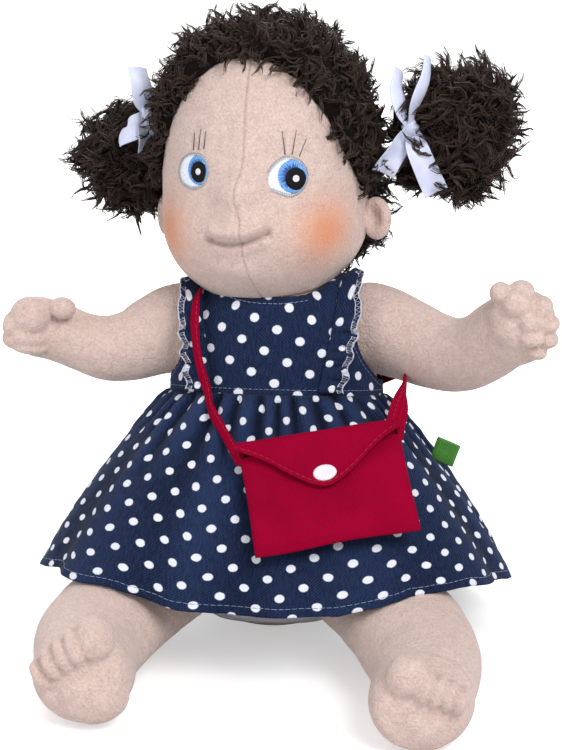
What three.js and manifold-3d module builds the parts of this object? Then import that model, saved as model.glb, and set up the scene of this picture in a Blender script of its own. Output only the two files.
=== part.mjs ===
// A sewn cloth doll, sitting with its legs out in front.
// Millimetres, +Z up, the doll faces -Y, and +X is the doll's own left.
// The origin is the middle of the flat that the doll sits on.
import * as THREE from "three";
import { mergeVertices } from "three/addons/utils/BufferGeometryUtils.js";
import Module from "manifold-3d";

const wasm = await Module();
wasm.setup();

// Cloths and gaps
const SKIN = 1.2; // velour of the body
const DENIM = 1.1; // dress cloth
const COTTON = 0.8; // underpants
const SATIN = 1.0; // ribbon with its doubled edge
const PILE = 11; // depth of the wig's curls
const GAP = 0.3; // clearance between pieces that touch
const CROWN_ALLOWANCE = 2.2; // extra for the wig's hollow, which has fewer sides than the head

// Body
const BODY_LEAN = THREE.MathUtils.degToRad(13);
const BODY_BASE = new THREE.Vector3(0, -9.4, 0.54);
const BODY_LENGTH = 153;
const SEAT_HALF_WIDTH = 50;
const SEAT_HALF_DEPTH = 43;
const CHEST_HALF_WIDTH = 44;
const CHEST_HALF_DEPTH = 36;
const SEAT_ROUNDING = 45; // height over which the seat rounds in
const SHOULDER_START = BODY_LENGTH - 32; // where the body starts to close towards the neck
const PELLET_TOP = 38; // top of the pellet pouch, along the body
const WAIST = BODY_LENGTH - 49; // dress waist seam, along the body
const UNDERPANTS_TOP = 62;

// Neck
const NECK_RADIUS = 15;
const NECK_HEIGHT = BODY_LENGTH - 3; // height of its joint over the floor
const NECK_PIVOT = new THREE.Vector3(-3, 19, NECK_HEIGHT);
const NECK_BOTTOM = NECK_HEIGHT - 23;
const NOD_BACK = 8; // degrees
const NOD_FORWARD = 6;

// Head
const HEAD_CENTRE = new THREE.Vector3(-5, 18, NECK_HEIGHT + 28.6);
const HEAD_TURN = THREE.MathUtils.degToRad(-8.5);
const HEAD_LEAN = THREE.MathUtils.degToRad(4);
const HEAD_TILT = THREE.MathUtils.degToRad(-2);
const HEAD_HALF_WIDTH = 44.5;
const HEAD_FRONT = 45;
const HEAD_BACK = 48;
const HEAD_UP = 80;
const HEAD_DOWN = 36.5;
const CROWN_FULLNESS = 2.6; // above 2 the crown is fuller than an ellipse
const HEAD_CLEARANCE = 3; // room under the head for it to turn and nod
const NOSE_TOP = 20; // where the nose rises from the brow
const NOSE_TIP = 4;
const NOSE_HEIGHT = 7.5;
const NOSE_HALF_WIDTH = 7;
const LIP_SHARE = 0.55; // how far the upper lip stands out, as a share of the nose
const SMILE_HALF_ANGLE = THREE.MathUtils.degToRad(21);
const SMILE_LOW = -10.2;
const SMILE_RISE = 5.2;
const SMILE_DEPTH = 2.2;

// Face pieces, in the head's own frame
const EYE_AZIMUTH = THREE.MathUtils.degToRad(30);
const EYE_HEIGHT = 23;
const EYE_WIDTH = 21.3;
const EYE_TALL = 18.3;
const IRIS_RADIUS = 7.8;
const IRIS_SHIFT = 2.4;
const PUPIL_RADIUS = 4.7;
const PUPIL_SHIFT = 4;
const PUPIL_DROP = 0.8;
const GLINT_RADIUS = 1.8;
const THREAD = 0.5; // height of one embroidered layer
const LASH_LENGTH = 9;
const LASH_START = 10.4; // above the eye's middle
const EAR_AZIMUTH = THREE.MathUtils.degToRad(92);
const EAR_HEIGHT = 3;
const EAR_LONG = 18;
const EAR_WIDE = 14;
const EAR_THICK = 7;

// Hair
const HAIRLINE = [
  // azimuth from the face in degrees, height over the head's centre
  [0, 70],
  [20, 68],
  [38, 61],
  [55, 45],
  [68, 26],
  [80, 15],
  [98, 14],
  [112, -12],
  [135, -22],
  [180, -25],
];
const TUFT_LEFT = {
  knot: [54, 14, 42],
  middle: [85, 18, 38],
  half: [27, 26, 34],
};
const TUFT_RIGHT = {
  knot: [-49, 14, 45],
  middle: [-70, 18, 20],
  half: [19, 23, 31],
};
const KNOT_RADIUS = 8;
const EDGE_PILE_SHARE = 0.55; // the curls are this much shorter at the hairline
const ELASTIC = 2.4;
const ELASTIC_AT = 4; // from the knot towards the bunch
const RIBBON_WIDTH = 11;
const TUFT_SWING = 10; // degrees each way
const TUFT_CLEARANCE = 1; // round the head and below the wig's edge

// Dress
const SKIRT_FOLDS = 16;
const FOLD_POINT_COUNT = 4;
const WAIST_FOLD_DEPTH = 1.7;
const HEM_FOLD_DEPTH = 3.2;
const SKIRT_LENGTH = 98; // waist seam to hem at the front
const HEM_CENTRE_X = 2;
const HEM_HALF_WIDTH = 101;
const HEM_HALF_DEPTH = 90;
const HEM_CENTRE_Y = 3;
const HEM_FRONT_SQUARENESS = 3; // above 2 the front of the hem is squarer than an ellipse
const HEM_HEIGHTS = [
  // degrees round from the front, height over the floor
  [0, 35],
  [18, 37],
  [34, 43.5],
  [50, 43],
  [66, 36],
  [90, 26],
  [120, 15],
  [150, 9],
  [180, 7],
];
const ARMHOLE_HALF_DEEP = 20;
const ARMHOLE_HALF_TALL = 22;
const ARMHOLE_START = 33; // from the middle
const ARMHOLE_REACH = 60;
const ARMHOLE_DOWN = 20; // its centre, below the neck's joint
const SIDE_SEAM = 17; // y of the side and shoulder seams
const FRILL_WIDTH = 10;
const FRILL_TOP = BODY_LENGTH - 7;
const FRILL_SEAM_LOW = 19;
const FRILL_SEAM_HIGH = 28;
const FRILL_TURN = 1;
const FRILL_WAVE_COUNT = 6;
const FRILL_WAVE_DEPTH = 0.8;
const TAPE_WIDTH = 8;
const TAPE_THICK = 0.9;
const TAPE_LENGTH = 26;
const LABEL_WIDE = 10;
const LABEL_TALL = 9;
const LABEL_THICK = 1;
const LABEL_AZIMUTH = THREE.MathUtils.degToRad(-8);
const LABEL_SHARE = 0.33; // how far down the skirt it is sewn in
const LABEL_GAP = 2.1;

// Arms and legs: each station is x, y, z, half height and half depth, with an arm's z from the neck's joint
const ARM_RIGHT_STATIONS = [
  [-33, 17, -20.5, 19.5, 17],
  [-44, 17, -21, 19.5, 17],
  [-54, 15, -24.5, 18, 16],
  [-64, 13, -28.5, 15.8, 14.6],
  [-75, 11, -29.5, 14.6, 14],
  [-86, 9, -26.5, 13, 13],
  [-96, 7, -22, 13, 13],
  [-107, 5, -19, 13.4, 13.4],
  [-114, 4, -19, 10.4, 10.6],
  [-118, 4, -19, 5, 5],
];
const ARM_LEFT_STATIONS = [
  [35, 16, -18, 19.5, 17],
  [47, 13, -19, 19.5, 17],
  [59, 6, -21.5, 18, 16],
  [70, -3, -23.5, 16.6, 15.4],
  [80, -11, -23, 15.8, 15],
  [90, -19, -18, 15, 14.4],
  [98, -27, -10, 15.2, 14.4],
  [107, -35, -3.5, 15.4, 14.4],
  [113, -40, -2, 11, 11],
  [116, -43, -2, 5, 5],
];
const SHOULDER_PIVOT = { right: [-37, 17, NECK_HEIGHT - 19], left: [38, 16, NECK_HEIGHT - 18.5] };
const ARM_RAISE = 25;
const ARM_DROP = 22;
const LEG_LEFT_STATIONS = [
  [32, -26, 27, 10, 19],
  [37, -37, 27, 15, 21],
  [45, -52, 26.5, 19, 22],
  [55, -71, 23.5, 20, 22.5],
  [63, -89, 20, 19.6, 21.5],
  [67.5, -106, 18.7, 19, 20],
  [69.5, -118, 18, 18.5, 20],
  [71, -127, 18.6, 18.6, 20.5],
  [72.5, -133, 20, 15.5, 17.5],
  [73.5, -137, 20.5, 8, 9],
];
const LEG_RIGHT_STATIONS = [
  [-32, -24, 27, 10, 19],
  [-37, -35, 27, 15, 21],
  [-44, -50, 26.5, 19, 22],
  [-53, -69, 23.5, 20, 22.5],
  [-60, -85, 20, 19.6, 21.5],
  [-62, -99, 18.8, 19, 20],
  [-62, -110, 18.5, 19, 19.5],
  [-62.5, -119, 22.5, 19.4, 20.5],
  [-63.5, -125, 24, 15.8, 17.5],
  [-64, -129, 24.5, 8, 9],
];
const RIGHT_FIST = [-111, 3, -19]; // middle of each fist, its z from the neck's joint
const LEFT_FIST = [110, -40, -2];
const RIGHT_SOLE = [-62.5, -124.5, 23]; // middle of each sole
const LEFT_SOLE = [71.5, -132.5, 19];
const HIP_PIVOT = { right: [-35, -37, 22], left: [35, -38, 22] };
const HIP_RANGE = 70;
const INNER_SIDE_COUNT = 8; // sides of a limb's hollow and filling
const LIMB_OPENING = 5; // how far a limb's hollow runs out of its open end
const SWEEP_STEP = 19; // degrees between the places a limb is cleared at
const SWEEP_SIDE_COUNT = 16; // coarser than the body, so it stands this much further off
const SWEEP_CLEARANCE = 1.4;
const SHOULDER_CLEARANCE = 1.1; // from the body to an arm inside its armhole
const ARMHOLE_EASE = 0.9; // from the armhole's rim to the arm
const SKIRT_CLEARANCE = 2.4; // from the arms to the skirt's folds

// Bag
const BAG_WIDTH = 71;
const BAG_HEIGHT = 50;
const BAG_MOUTH = 8.4; // thickness at the open top
const BAG_BELLY = 9.6;
const BAG_SEAM = 2.4; // thickness at the bottom seam
const BAG_WALL = 1;
const BAG_LIP_DROP = 4; // the front wall ends this far below the back wall
const BAG_TOP = new THREE.Vector3(25, -48.5, WAIST - 3); // middle of its top edge
const BAG_SLOPE = THREE.MathUtils.degToRad(40); // how far its face leans back
const BAG_ROLL = THREE.MathUtils.degToRad(9.5);
const FLAP_DROP = 28;
const FLAP_EDGE_DROP = 5;
const FLAP_THICK = 1.4;
const FLAP_OVERHANG = 0.4;
const DOT_WIDE = 10.4;
const DOT_TALL = 7.8;
const PATCH_WIDE = 9; // hook and loop patches that close the flap
const PATCH_TALL = 6;
const PATCH_THICK = 0.5;
const PATCH_DROP = -18;
const STRAP_WIDTH = 6;
const STRAP_THICK = 1.5;
const STRAP_TAB = 2;
const STRAP_CORE_TOP = WAIST + 14; // the strap lies round the body's axis up to here
const DOT_DROP = -19.5;
const STRAP_LIFT = 1.7; // from the dress to the middle of the strap
const STRAP_CLEARANCE = 1.7; // round the strap, for the arms
const STRAP_ROUTE = [
  // degrees round the body from its left side, height over the waist, extra distance off the dress
  [-106, -13, 0.8],
  [-110, -6.5, 1.2],
  [-113, 0, 3.4],
  [-117, 8, 6.2],
  [-121, 17, 7.4],
  [-128, 27, 8],
  [-139, 35, 7.4],
  [-155, 40.5, 4],
  [-170, 43, 0.8],
  [175, 43.6, 0.6],
  [160, 42.8, 1.2],
  [145, 40, 3.2],
  [132, 35, 3.6],
  [119, 28.5, 1.8],
  [105, 21.5, 1.8],
  [90, 15, 2.8],
  [75, 9, 3],
  [60, 3, 3],
  [45, -1.5, 2.8],
  [30, -4.5, 2.4],
  [14, -6, 2.2],
  [-2, -6.5, 2.2],
  [-18, -6.5, 4],
  [-33, -6.5, 10],
];

// Colours
const PALETTE = {
  velour: 0xd6beb2,
  filling: 0xf0eee8,
  pellets: 0xd9d2c4,
  pile: 0x33251e,
  satin: 0xdfe2f2,
  denim: 0x26395f,
  overlock: 0xe9e4e2,
  cotton: 0xe4eaf1,
  crimson: 0xa80c2c,
  felt: 0xefe9ea,
  label: 0x5ea53a,
  eye_rim: 0xe6dfcf,
  iris: 0x4a7fc4,
  pupil: 0x14131a,
  lash: 0x4b4350,
  tape: 0xe8e8ea,
  elastic: 0x2a2424,
};

const X_AXIS = new THREE.Vector3(1, 0, 0);
const Y_AXIS = new THREE.Vector3(0, 1, 0);

const doll = new THREE.Group();

function addPiece(name, geometry, colour, roughness = 0.9) {
  const material = new THREE.MeshStandardMaterial({ color: PALETTE[colour], roughness, metalness: 0 });
  const mesh = new THREE.Mesh(geometry, material);
  mesh.name = name;
  doll.add(mesh);
  return mesh;
}

// Solids: closed meshes in and out of the boolean library

function toSolid(geometry) {
  const bare = geometry.clone();
  for (const name of Object.keys(bare.attributes)) if (name !== "position") bare.deleteAttribute(name);
  const merged = mergeVertices(bare, 1e-4);
  return new wasm.Manifold(
    new wasm.Mesh({
      numProp: 3,
      vertProperties: new Float32Array(merged.attributes.position.array),
      triVerts: new Uint32Array(merged.index.array),
    }),
  );
}

function toGeometry(solid) {
  const mesh = solid.getMesh();
  const geometry = new THREE.BufferGeometry();
  geometry.setAttribute("position", new THREE.BufferAttribute(new Float32Array(mesh.vertProperties), 3));
  geometry.setIndex(Array.from(mesh.triVerts));
  return geometry;
}

function largestBody(solid) {
  const bodies = solid.decompose();
  return bodies.reduce((best, body) => (body.volume() > best.volume() ? body : best));
}

function joined(solids) {
  return solids.reduce((whole, solid) => whole.add(solid));
}

function box(lowX, highX, lowY, highY, lowZ, highZ) {
  const geometry = new THREE.BoxGeometry(highX - lowX, highY - lowY, highZ - lowZ);
  geometry.translate((lowX + highX) / 2, (lowY + highY) / 2, (lowZ + highZ) / 2);
  return toSolid(geometry);
}

const FAR = 400;
const ABOVE_FLOOR = box(-FAR, FAR, -FAR, FAR, 0, FAR);

// A closed form through rings that run anticlockwise as seen from the far end
function loft(rings) {
  const count = rings[0].length;
  const positions = rings.flat().flatMap((p) => [p.x, p.y, p.z]);
  const index = [];
  for (let r = 0; r + 1 < rings.length; r += 1) {
    for (let i = 0; i < count; i += 1) {
      const a = r * count + i;
      const b = r * count + ((i + 1) % count);
      index.push(a, b, b + count, a, b + count, a + count);
    }
  }
  for (const [r, flip] of [
    [0, true],
    [rings.length - 1, false],
  ]) {
    const centre = rings[r].reduce((sum, p) => sum.add(p), new THREE.Vector3()).divideScalar(count);
    const c = positions.length / 3;
    positions.push(centre.x, centre.y, centre.z);
    for (let i = 0; i < count; i += 1) {
      const a = r * count + i;
      const b = r * count + ((i + 1) % count);
      index.push(...(flip ? [b, a, c] : [a, b, c]));
    }
  }
  const geometry = new THREE.BufferGeometry();
  geometry.setAttribute("position", new THREE.Float32BufferAttribute(positions, 3));
  geometry.setIndex(index);
  return geometry;
}

// A closed wall between an outer and an inner run of rings, open at both ends
function wall(outer, inner) {
  const rings = [...outer, ...[...inner].reverse()];
  const count = rings[0].length;
  const positions = rings.flat().flatMap((p) => [p.x, p.y, p.z]);
  const index = [];
  for (let r = 0; r < rings.length; r += 1) {
    const next = ((r + 1) % rings.length) * count;
    for (let i = 0; i < count; i += 1) {
      const j = (i + 1) % count;
      index.push(r * count + i, r * count + j, next + j, r * count + i, next + j, next + i);
    }
  }
  const geometry = new THREE.BufferGeometry();
  geometry.setAttribute("position", new THREE.Float32BufferAttribute(positions, 3));
  geometry.setIndex(index);
  return geometry;
}

function smooth(low, high, value) {
  return THREE.MathUtils.smoothstep(value, low, high);
}

function interpolate(table, value) {
  const last = table.length - 1;
  if (value <= table[0][0]) return table[0][1];
  if (value >= table[last][0]) return table[last][1];
  const k = table.findIndex((row) => row[0] > value);
  const [x0, y0] = table[k - 1];
  const [x1, y1] = table[k];
  return y0 + ((y1 - y0) * (value - x0)) / (x1 - x0);
}

// The body: rings square to an axis that leans back

function bodyFrame(x, depth, along) {
  const y = depth * Math.cos(BODY_LEAN) + along * Math.sin(BODY_LEAN);
  const z = along * Math.cos(BODY_LEAN) - depth * Math.sin(BODY_LEAN);
  return new THREE.Vector3(x, y, z).add(BODY_BASE);
}

function bodyHalfSizes(along) {
  const upper = smooth(45, 125, along);
  const width = THREE.MathUtils.lerp(SEAT_HALF_WIDTH, CHEST_HALF_WIDTH, upper);
  const depth = THREE.MathUtils.lerp(SEAT_HALF_DEPTH, CHEST_HALF_DEPTH, upper);
  const low = Math.min(1, Math.max(0, along / SEAT_ROUNDING));
  const high = Math.min(1, Math.max(0, (along - SHOULDER_START) / (BODY_LENGTH - SHOULDER_START)));
  const closing = Math.sqrt(1 - (1 - low) ** 2) * Math.sqrt(1 - high ** 4.5);
  return [width * closing, depth * closing];
}

const LOW_LEVELS = [0.3, 1.6, 5, 12, 24, 45, WAIST];
const BODY_LEVELS = [...LOW_LEVELS, ...[29, 17, 8, 2, 0.1].map((down) => BODY_LENGTH - down)];

function bodySolid(grow, points = 24) {
  const middle = BODY_LENGTH / 2;
  const rings = BODY_LEVELS.map((level) => {
    const [width, depth] = bodyHalfSizes(level);
    const along = middle + (level - middle) * (1 + grow / middle);
    return [...Array(points).keys()].map((i) => {
      const angle = (i / points) * Math.PI * 2;
      return bodyFrame((width + grow) * Math.cos(angle), (depth + grow) * Math.sin(angle), along);
    });
  });
  return toSolid(loft(rings));
}

// A slab across the body's axis, for cutting it at a height along the axis
function bodySlab(low, high) {
  const geometry = new THREE.BoxGeometry(FAR, FAR, high - low);
  geometry.translate(0, 0, (low + high) / 2);
  geometry.rotateX(-BODY_LEAN);
  geometry.translate(BODY_BASE.x, BODY_BASE.y, BODY_BASE.z);
  return toSolid(geometry);
}

function turnedTube(profile, at, segments = 14) {
  const geometry = new THREE.LatheGeometry(
    profile.map(([r, z]) => new THREE.Vector2(r, z)),
    segments,
  );
  geometry.rotateX(Math.PI / 2);
  geometry.translate(at.x, at.y, at.z);
  return toSolid(geometry);
}

// The neck's outline of revolution: a tube with a round top
function neckProfile(grow, bottom) {
  const radius = NECK_RADIUS + grow;
  const profile = [
    [0, bottom],
    [radius, bottom],
    [radius, 0],
  ];
  for (let k = 1; k <= 4; k += 1) {
    const angle = (k / 4) * (Math.PI / 2);
    profile.push([k === 4 ? 0 : radius * Math.cos(angle), radius * Math.sin(angle)]);
  }
  return profile;
}

// The head: an egg with a nose and a smile

const headMatrix = new THREE.Matrix4()
  .makeTranslation(HEAD_CENTRE.x, HEAD_CENTRE.y, HEAD_CENTRE.z)
  .multiply(
    new THREE.Matrix4().makeRotationFromEuler(new THREE.Euler(-HEAD_LEAN, HEAD_TILT, HEAD_TURN, "ZXY")),
  );

function headPoint(azimuth, height, grow, features = true) {
  const front = (1 + Math.cos(azimuth)) / 2;
  const depth = THREE.MathUtils.lerp(HEAD_BACK, HEAD_FRONT, front) + grow;
  const reach = height > 0 ? HEAD_UP : HEAD_DOWN;
  const fullness = height > 0 ? CROWN_FULLNESS : 2;
  const share = Math.min(1, Math.abs(height) / reach);
  const round = (1 - share ** fullness) ** (1 / fullness);
  const x = (HEAD_HALF_WIDTH + grow) * round * Math.sin(azimuth);
  let y = -depth * round * Math.cos(azimuth);
  const z = height * (1 + grow / reach);
  if (features && Math.cos(azimuth) > 0) {
    const across = Math.exp(-((x / NOSE_HALF_WIDTH) ** 2));
    const above = 1 - smooth(NOSE_TIP, NOSE_TOP, z);
    const lip = THREE.MathUtils.lerp(LIP_SHARE, 1, smooth(SMILE_LOW, NOSE_TIP, z));
    const below = lip * smooth(SMILE_LOW - 3, SMILE_LOW + 1, z);
    y -= NOSE_HEIGHT * across * (z > NOSE_TIP ? above : below);
    const along = azimuth / SMILE_HALF_ANGLE;
    const line = SMILE_LOW + SMILE_RISE * along ** 2;
    const fold = Math.exp(-(((z - line) / SMILE_DEPTH) ** 2)) * (1 - smooth(0.9, 1.2, Math.abs(along)));
    y += SMILE_DEPTH * fold;
  }
  return new THREE.Vector3(x, y, z);
}

function headLevels(sharesUp, sharesDown) {
  return [...sharesUp.map((share) => share * HEAD_UP), ...sharesDown.map((share) => -share * HEAD_DOWN)];
}

function degrees(list) {
  return list.map((value) => THREE.MathUtils.degToRad(value));
}

const FACE_AZIMUTHS = degrees([
  -180, -160, -140, -122, -105, -90, -75, -60, -46, -34, -25, -18, -12, -7, -2.5,
  2.5, 7, 12, 18, 25, 34, 46, 60, 75, 90, 105, 122, 140, 160,
]);
const FACE_HEIGHTS = headLevels(
  [0.985, 0.92, 0.8, 0.62, 0.45, 0.33, 0.25, 0.19, 0.12, 0.05],
  [0.03, 0.14, 0.24, 0.33, 0.42, 0.56, 0.76, 0.9, 0.97],
);
const PLAIN_AZIMUTHS = degrees([-180, -156, -132, -108, -84, -60, -36, -12, 12, 36, 60, 84, 108, 132, 156]);
const PLAIN_HEIGHTS = headLevels([0.98, 0.87, 0.66, 0.38, 0.08], [0.35, 0.68, 0.92]);

function headSolid(grow, azimuths, heights, features) {
  const rings = [...heights].reverse().map((height) => {
    return azimuths.map((azimuth) => headPoint(azimuth, height, grow, features).applyMatrix4(headMatrix));
  });
  return toSolid(loft(rings));
}

// A patch on the head's surface: an outline around an azimuth and a height
function facePatch(azimuth, height, halfWide, halfTall, lift, thick, points = 18, shape = () => 1) {
  const ring = (scale, rise) =>
    [...Array(points).keys()].map((i) => {
      const angle = (i / points) * Math.PI * 2;
      const reach = scale * shape(angle);
      const turn = azimuth + (halfWide * reach * Math.cos(angle)) / HEAD_FRONT;
      const z = height + halfTall * reach * Math.sin(angle);
      return headPoint(turn, z, rise, false).applyMatrix4(headMatrix);
    });
  return loft([ring(0.5, lift), ring(1, lift), ring(1, lift + thick * 0.6), ring(0.6, lift + thick)]);
}

function eyeOutline(angle) {
  // drawn out to a soft point at the outer corner, low on the side away from the glance
  return 1 + 0.1 * Math.cos(angle * 2 + 0.7);
}

function makeFace() {
  const sides = [
    ["right", -1],
    ["left", 1],
  ];
  for (const [side, sign] of sides) {
    const azimuth = sign * EYE_AZIMUTH;
    const layer = (dx, dz) => [azimuth + dx / HEAD_FRONT, EYE_HEIGHT + dz];
    const base = GAP;
    const patch = facePatch(azimuth, EYE_HEIGHT, EYE_WIDTH / 2, EYE_TALL / 2, base, THREAD, 14, eyeOutline);
    addPiece(`eye_patch_${side}`, patch, "eye_rim");
    const step = THREAD + GAP;
    const iris = facePatch(...layer(IRIS_SHIFT, 0), IRIS_RADIUS, IRIS_RADIUS, base + step, THREAD, 12);
    addPiece(`iris_${side}`, iris, "iris");
    const pupilAt = layer(PUPIL_SHIFT, -PUPIL_DROP);
    const pupil = facePatch(...pupilAt, PUPIL_RADIUS, PUPIL_RADIUS, base + 2 * step, THREAD, 10);
    addPiece(`pupil_${side}`, pupil, "pupil");
    const glint = facePatch(...pupilAt, GLINT_RADIUS, GLINT_RADIUS, base + 3 * step, THREAD, 6);
    addPiece(`eye_glint_${side}`, glint, "felt");
    [-1, 0, 1].forEach((place, k) => {
      const at = azimuth + (place * 5) / HEAD_FRONT;
      const top = azimuth + (place * 7 + 1) / HEAD_FRONT;
      addPiece(`lash_${side}_${k + 1}`, lash(at, top), "lash");
    });
  }
}

function lash(bottomAzimuth, topAzimuth) {
  const half = THREAD / 2;
  const rings = [0, 0.5, 1].map((t) => {
    const azimuth = THREE.MathUtils.lerp(bottomAzimuth, topAzimuth, t);
    const z = EYE_HEIGHT + LASH_START + LASH_LENGTH * t;
    return [...Array(5).keys()].map((i) => {
      const angle = (i / 5) * Math.PI * 2;
      const turn = azimuth + (half * Math.cos(angle)) / HEAD_FRONT;
      const rise = GAP + half + half * Math.sin(angle);
      return headPoint(turn, z, rise, false).applyMatrix4(headMatrix);
    });
  });
  return loft(rings.map((ring) => ring.reverse()));
}

// A flat cushion, sewn on along its front edge
function ear(sign, grow = 0) {
  const shape = [];
  const count = 12;
  for (let r = 0; r < 5; r += 1) {
    const t = r / 4;
    const across = (EAR_THICK + 2 * grow) * (t - 0.5);
    const size = [0.6, 0.95, 1, 0.95, 0.6][r];
    shape.push(
      [...Array(count).keys()].map((i) => {
        const angle = (i / count) * Math.PI * 2;
        return new THREE.Vector3(
          (EAR_WIDE / 2 + grow) * size * Math.cos(angle) + EAR_WIDE * 0.36,
          across,
          (EAR_LONG / 2 + grow) * size * Math.sin(angle),
        );
      }),
    );
  }
  const geometry = loft(shape.map((ring) => ring.reverse()));
  if (sign < 0) {
    geometry.scale(-1, 1, 1);
    geometry.index.array.reverse();
  }
  const at = headPoint(sign * EAR_AZIMUTH, EAR_HEIGHT, 0, false);
  geometry.rotateZ(sign * THREE.MathUtils.degToRad(-18));
  geometry.translate(at.x, at.y, at.z);
  geometry.applyMatrix4(headMatrix);
  return toSolid(geometry);
}

function makeHead() {
  const outer = headSolid(0, FACE_AZIMUTHS, FACE_HEIGHTS, true);
  const inner = headSolid(-SKIN, PLAIN_AZIMUTHS, PLAIN_HEIGHTS, false);
  const filling = headSolid(-SKIN - 3 * GAP, PLAIN_AZIMUTHS, PLAIN_HEIGHTS, false);
  const opening = turnedTube(neckProfile(GAP * 1.4, -30), NECK_PIVOT);
  const flare = turnedTube(
    [
      [0, -30],
      [NECK_RADIUS + 7, -30],
      [NECK_RADIUS + 0.6, -1],
      [0, -1],
    ],
    NECK_PIVOT,
  );
  const skin = outer.subtract(inner).subtract(opening).subtract(flare);
  addPiece("head_skin", toGeometry(largestBody(skin)), "velour");
  const stuffed = filling.subtract(opening).subtract(flare);
  addPiece("head_filling", toGeometry(largestBody(stuffed)), "filling");
  const around = headSolid(GAP, FACE_AZIMUTHS, FACE_HEIGHTS, false);
  const wig = curlSolid(GAP * 2 + PILE);
  for (const [side, sign] of [
    ["right", -1],
    ["left", 1],
  ]) {
    addPiece(`ear_${side}`, toGeometry(largestBody(ear(sign).subtract(around).subtract(wig))), "velour");
  }
}

// The wig's outer form, filled down to the hairline, or to a distance below it
function curlSolid(rise, below = 0) {
  const azimuths = degrees([...Array(24).keys()].map((i) => -180 + i * 15));
  const fromFront = azimuths.map((azimuth) => Math.abs(THREE.MathUtils.radToDeg(azimuth)));
  const edge = fromFront.map((angle) => interpolate(HAIRLINE, angle) - below);
  const shares = [0, 0.04, 0.2, 0.42, 0.64, 0.82, 0.94, 0.99];
  const rings = shares.map((share, k) =>
    azimuths.map((azimuth, i) => {
      const height = THREE.MathUtils.lerp(edge[i], HEAD_UP, share);
      const proud = k === 0 ? rise * EDGE_PILE_SHARE : rise;
      return headPoint(azimuth, height, proud, false).applyMatrix4(headMatrix);
    }),
  );
  return toSolid(loft(rings));
}

// A bunch of curls: an egg with a narrow root at its knot, in the head's frame
function tuftRings(tuft, grow) {
  const knot = new THREE.Vector3(...tuft.knot);
  const middle = new THREE.Vector3(...tuft.middle);
  const axis = middle.clone().sub(knot).normalize();
  const upward = new THREE.Vector3(0, 0, 1);
  const side = new THREE.Vector3().crossVectors(upward, axis).normalize();
  const up = new THREE.Vector3().crossVectors(axis, side).normalize();
  const reach = middle.distanceTo(knot);
  const [halfLong, halfDeep, halfTall] = tuft.half;
  const stations = [
    [0, KNOT_RADIUS / halfTall],
    [reach * 0.16, (KNOT_RADIUS + 1) / halfTall],
    [reach * 0.38, 0.62],
    [reach * 0.66, 0.88],
    [reach, 1],
    [reach + halfLong * 0.4, 0.92],
    [reach + halfLong * 0.75, 0.66],
    [reach + halfLong, 0.22],
  ];
  return stations.map(([along, size]) =>
    [...Array(14).keys()].map((i) => {
      const angle = (i / 14) * Math.PI * 2;
      const narrow = along === 0 || size < (KNOT_RADIUS + 2) / halfTall ? halfTall : halfDeep;
      return knot
        .clone()
        .addScaledVector(axis, along)
        .addScaledVector(side, (narrow * size + grow) * Math.cos(angle))
        .addScaledVector(up, (halfTall * size + grow) * Math.sin(angle))
        .applyMatrix4(headMatrix);
    }),
  );
}

function elasticRing(tuft, grow) {
  const knot = new THREE.Vector3(...tuft.knot);
  const axis = new THREE.Vector3(...tuft.middle).sub(knot).normalize();
  const geometry = new THREE.TorusGeometry(KNOT_RADIUS + ELASTIC / 2 + 1, ELASTIC / 2 + grow, 5, 12);
  const turn = new THREE.Quaternion().setFromUnitVectors(new THREE.Vector3(0, 0, 1), axis);
  geometry.applyQuaternion(turn);
  const at = knot.clone().addScaledVector(axis, ELASTIC_AT);
  geometry.translate(at.x, at.y, at.z);
  geometry.applyMatrix4(headMatrix);
  return toSolid(geometry);
}

function ribbonStrip(points, width, across) {
  // a flat band along a few points; across is the direction of its width
  const curve = new THREE.CatmullRomCurve3(points.map((p) => new THREE.Vector3(...p)));
  const wide = new THREE.Vector3(...across).normalize();
  const steps = points.length;
  const rings = [...Array(steps + 1).keys()].map((k) => {
    const at = curve.getPoint(k / steps);
    const along = curve.getTangent(k / steps);
    const flat = wide.clone().addScaledVector(along, -wide.dot(along)).normalize();
    const normal = new THREE.Vector3().crossVectors(along, flat).normalize();
    return [
      [1, 1],
      [-1, 1],
      [-1, -1],
      [1, -1],
    ].map(([w, n]) =>
      at
        .clone()
        .addScaledVector(flat, (w * width) / 2)
        .addScaledVector(normal, (n * SATIN) / 2),
    );
  });
  return toSolid(loft(rings));
}

function bow(tuft, sign) {
  const [x, y, z] = tuft.knot;
  const front = y - KNOT_RADIUS - ELASTIC - 4.5;
  const place = (dx, dy, dz) => [x + sign * dx, front + dy, z + dz];
  const across = [0.3 * sign, -0.2, 1];
  const knot = new THREE.SphereGeometry(4, 6, 5);
  knot.translate(...place(4, 0.5, 0));
  const ends = {
    tailUp: [[-3, -3, 7], [-7, -3, 12], [-9, -1, 17]],
    tailDown: [[8, -4, -6], [10, -5, -14], [13, -4, -22]],
    loopOut: [[-4, -5, 1], [-10, -5, -1], [-11, -1.5, -2]],
    loopIn: [[11, -4, 2], [16, -3.5, 2], [17, 0, 2]],
  };
  const directions = { tailUp: [1, 0, -0.3], tailDown: [1, 0, 0.3], loopOut: across, loopIn: across };
  const strips = Object.keys(ends).map((end) => {
    const route = [[4, 0.5, 0], ...ends[end]].map((offset) => place(...offset));
    return ribbonStrip(route, RIBBON_WIDTH, directions[end]);
  });
  const whole = joined([toSolid(knot), ...strips]);
  return toSolid(toGeometry(whole).applyMatrix4(headMatrix));
}

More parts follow.
